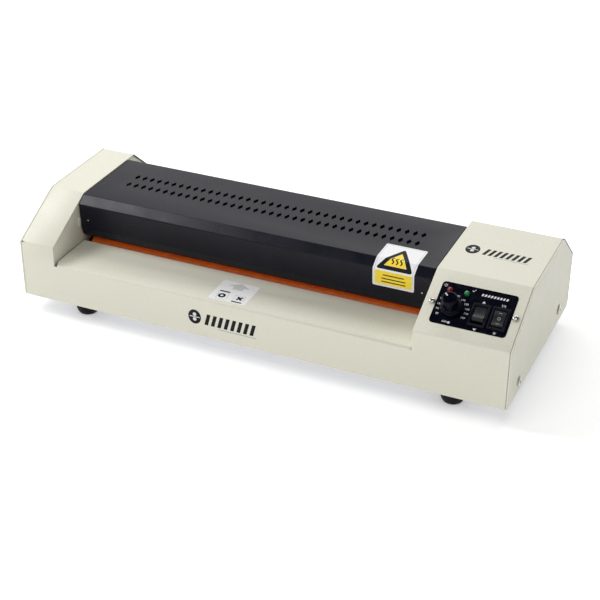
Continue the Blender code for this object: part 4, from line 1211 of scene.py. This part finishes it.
def shelf_sticker():
    """White sticker on the shelf: an arrow for the feeding way, a ring and a cross."""
    bm = bmesh.new()
    polygon(bm, rectangle((207.4, 5.0), (246.4, 41.0), 2.0, 6))
    film("shelf_sticker", bm, on_shelf, 0.02, WHITE_FILM, 0.14)
    tip, wing, stem, foot = (227.4, 39.4), 10.2, 5.3, 27.8
    x, neck = tip[0], 33.0
    head = [(x - wing, neck), tip, (x + wing, neck)]
    bm = bmesh.new()
    polygon(bm, [
        tip, head[0], (x - stem, neck), (x - stem, foot), (x + stem, foot), (x + stem, neck), head[2],
    ])
    film("shelf_sticker_arrow", bm, on_shelf, 0.17, PALE_INK)
    bm = bmesh.new()
    ring(bm, shifted(circle(3.8, 32), 218.4, 13.6), shifted(circle(1.5, 32), 218.4, 13.6))
    bar(bm, (212.6, 20.4), (223.6, 22.2))
    for degrees in (45, -45):
        spoke(bm, 236.8, 14.6, 3.6, degrees, 2.1)
    bar(bm, (231.0, 6.9), (242.0, 8.7))
    film("shelf_sticker_marks", bm, on_shelf, 0.19, BLACK_INK)
    bm = bmesh.new()
    stroke(bm, [(213.0, 19.6), (214.6, 7.2), (225.4, 7.4)], 0.3)
    stroke(bm, [(223.4, 19.6), (225.4, 9.4)], 0.3)
    stroke(bm, [(231.4, 10.2), (230.6, 18.8), (241.4, 19.2), (242.0, 10.2)], 0.3)
    stroke(bm, head, 0.45)
    film("shelf_sticker_lines", bm, on_shelf, 0.18, GREY_INK)


def cover_sticker():
    """White sticker folded over the cover's edge, with a triangle and a yellow panel."""
    low, high = (357.0, 20.9), (397.9, 77.8)
    bm = bmesh.new()
    polygon(bm, rectangle(low, high, 1.6, 5))
    film("cover_sticker", bm, on_cover, 0.02, WHITE_FILM, 0.14)

    def border(inset, radius):
        corners = shifted([low], inset, inset) + shifted([high], -inset, -inset)
        return rectangle(*corners, radius)

    bm = bmesh.new()
    ring(bm, border(1.5, 1.0), border(1.75, 0.8))
    film("cover_sticker_border", bm, on_cover, 0.17, GREY_INK)
    bm = bmesh.new()
    polygon(bm, rectangle((359.4, 23.4), (395.6, 37.6), 0.5))
    middle, base, apex, half = 377.6, 39.4, 72.2, 18.2

    def triangle(inset, radius):
        top = apex - inset * math.hypot(apex - base, half) / half
        reach = (top - base - inset) * half / (apex - base)
        corners = [(middle - reach, base + inset), (middle, top), (middle + reach, base + inset)]
        return rounded([*corners, *corners[:2]], [radius] * 3, 5)[1:-1]

    polygon(bm, triangle(4.3, 0.3))
    film("cover_sticker_yellow", bm, on_cover, 0.17, YELLOW_INK)
    bm = bmesh.new()
    ring(bm, triangle(0, 1.6), triangle(4.1, 0.4))
    for k in (-4.2, 0, 4.2):
        stroke(bm, wave(middle + k, 46.2, 1.1, 0.9, [0.6 * i for i in range(14)]), 1.3)
    for y, half_line in ((33.4, 10.5), (29.6, 12.0), (26.2, 12.0)):
        bar(bm, (middle - half_line, y - 0.55), (middle + half_line, y + 0.55))
    film("cover_sticker_marks", bm, on_cover, 0.19, BLACK_INK)


# ---- stage


def aim(obj, location, way, roll=0.0):
    """Puts a camera or a light in its place and points it along a direction."""
    obj.location = location
    obj.rotation_mode = "QUATERNION"
    level = way.to_track_quat("-Z", "Y")
    obj.rotation_quaternion = level @ Matrix.Rotation(roll, 3, "Z").to_quaternion()


def camera():
    azimuth, elevation, roll = (math.radians(angle) for angle in CAMERA_DEG.values())
    back = Vector((
        math.sin(azimuth) * math.cos(elevation),
        -math.cos(azimuth) * math.cos(elevation),
        math.sin(elevation),
    ))
    data = bpy.data.cameras.new("camera")
    data.sensor_width = 36
    data.lens = CAMERA_LENS
    made = add_object("camera", data)
    aim(made, CAMERA_AT, -back, roll)
    bpy.context.scene.camera = made


def area_light(name, location, size, power):
    data = bpy.data.lights.new(name, "AREA")
    data.shape = "RECTANGLE"
    data.size, data.size_y = size
    data.energy = power
    aim(add_object(name, data), location, LIGHT_TARGET - Vector(location))


def floor():
    """Wide pale sheet of paper under the object."""
    bm = bmesh.new()
    far = FLOOR_HALF
    polygon(bm, [(-far, -far), (far, -far), (far, far), (-far, far)])
    mesh = mesh_of("floor", bm, Matrix())
    white = (1, 1, 1, 1)
    paper = look(
        "floor_white", (0.9, 0.9, 0.9), 0.9, Emission_Strength=FLOOR_GLOW, Emission_Color=white
    )
    mesh.materials.append(paper)
    add_object("floor", mesh)


def studio():
    """A room that is bright round the back, and soft lights behind, in front and on the left."""
    world = bpy.data.worlds.new("studio")
    world.use_nodes = True
    tree = world.node_tree
    place = add_node(tree, "TexCoord")
    split = add_node(tree, "SeparateXYZ")
    link(place, "Generated", split, "Vector")
    ramp = add_node(tree, "ValToRGB")
    stops = ramp.color_ramp.elements
    stops[0].color = (1, 1, 1, 1)
    stops[1].color = (ZENITH, ZENITH, ZENITH, 1)
    for position, value in WORLD_BY_HEIGHT:
        stops.new(position).color = (value, value, value, 1)
    link(split, "Z", ramp, "Fac")
    side = add_node(tree, "VectorMath")
    side.operation = "DOT_PRODUCT"
    side.inputs[1].default_value = WORLD_BRIGHT_SIDE
    link(place, "Generated", side, 0)
    depth = add_node(tree, "MapRange", From_Min=-1.0, To_Min=WORLD_DIM, To_Max=WORLD_BRIGHT)
    link(side, "Value", depth, "Value")
    background = tree.nodes["Background"]
    link(ramp, "Color", background, "Color")
    link(depth, "Result", background, "Strength")
    bpy.context.scene.world = world
    for name, values in SOFTBOXES.items():
        area_light(name, *values)
    bpy.context.scene.view_settings.view_transform = "Standard"


camera()
front_shell()
rear_panel()
side_panels()
rear_gaskets()
top_cover()
vent_baffle()
cover_fixings()
rollers()
springs()
carried_over()
knob()
switches()
lamps()
screws()
power_inlet()
feet()
emblems()
control_label()
control_symbols()
rocker_symbols()
shelf_sticker()
cover_sticker()
floor()
studio()
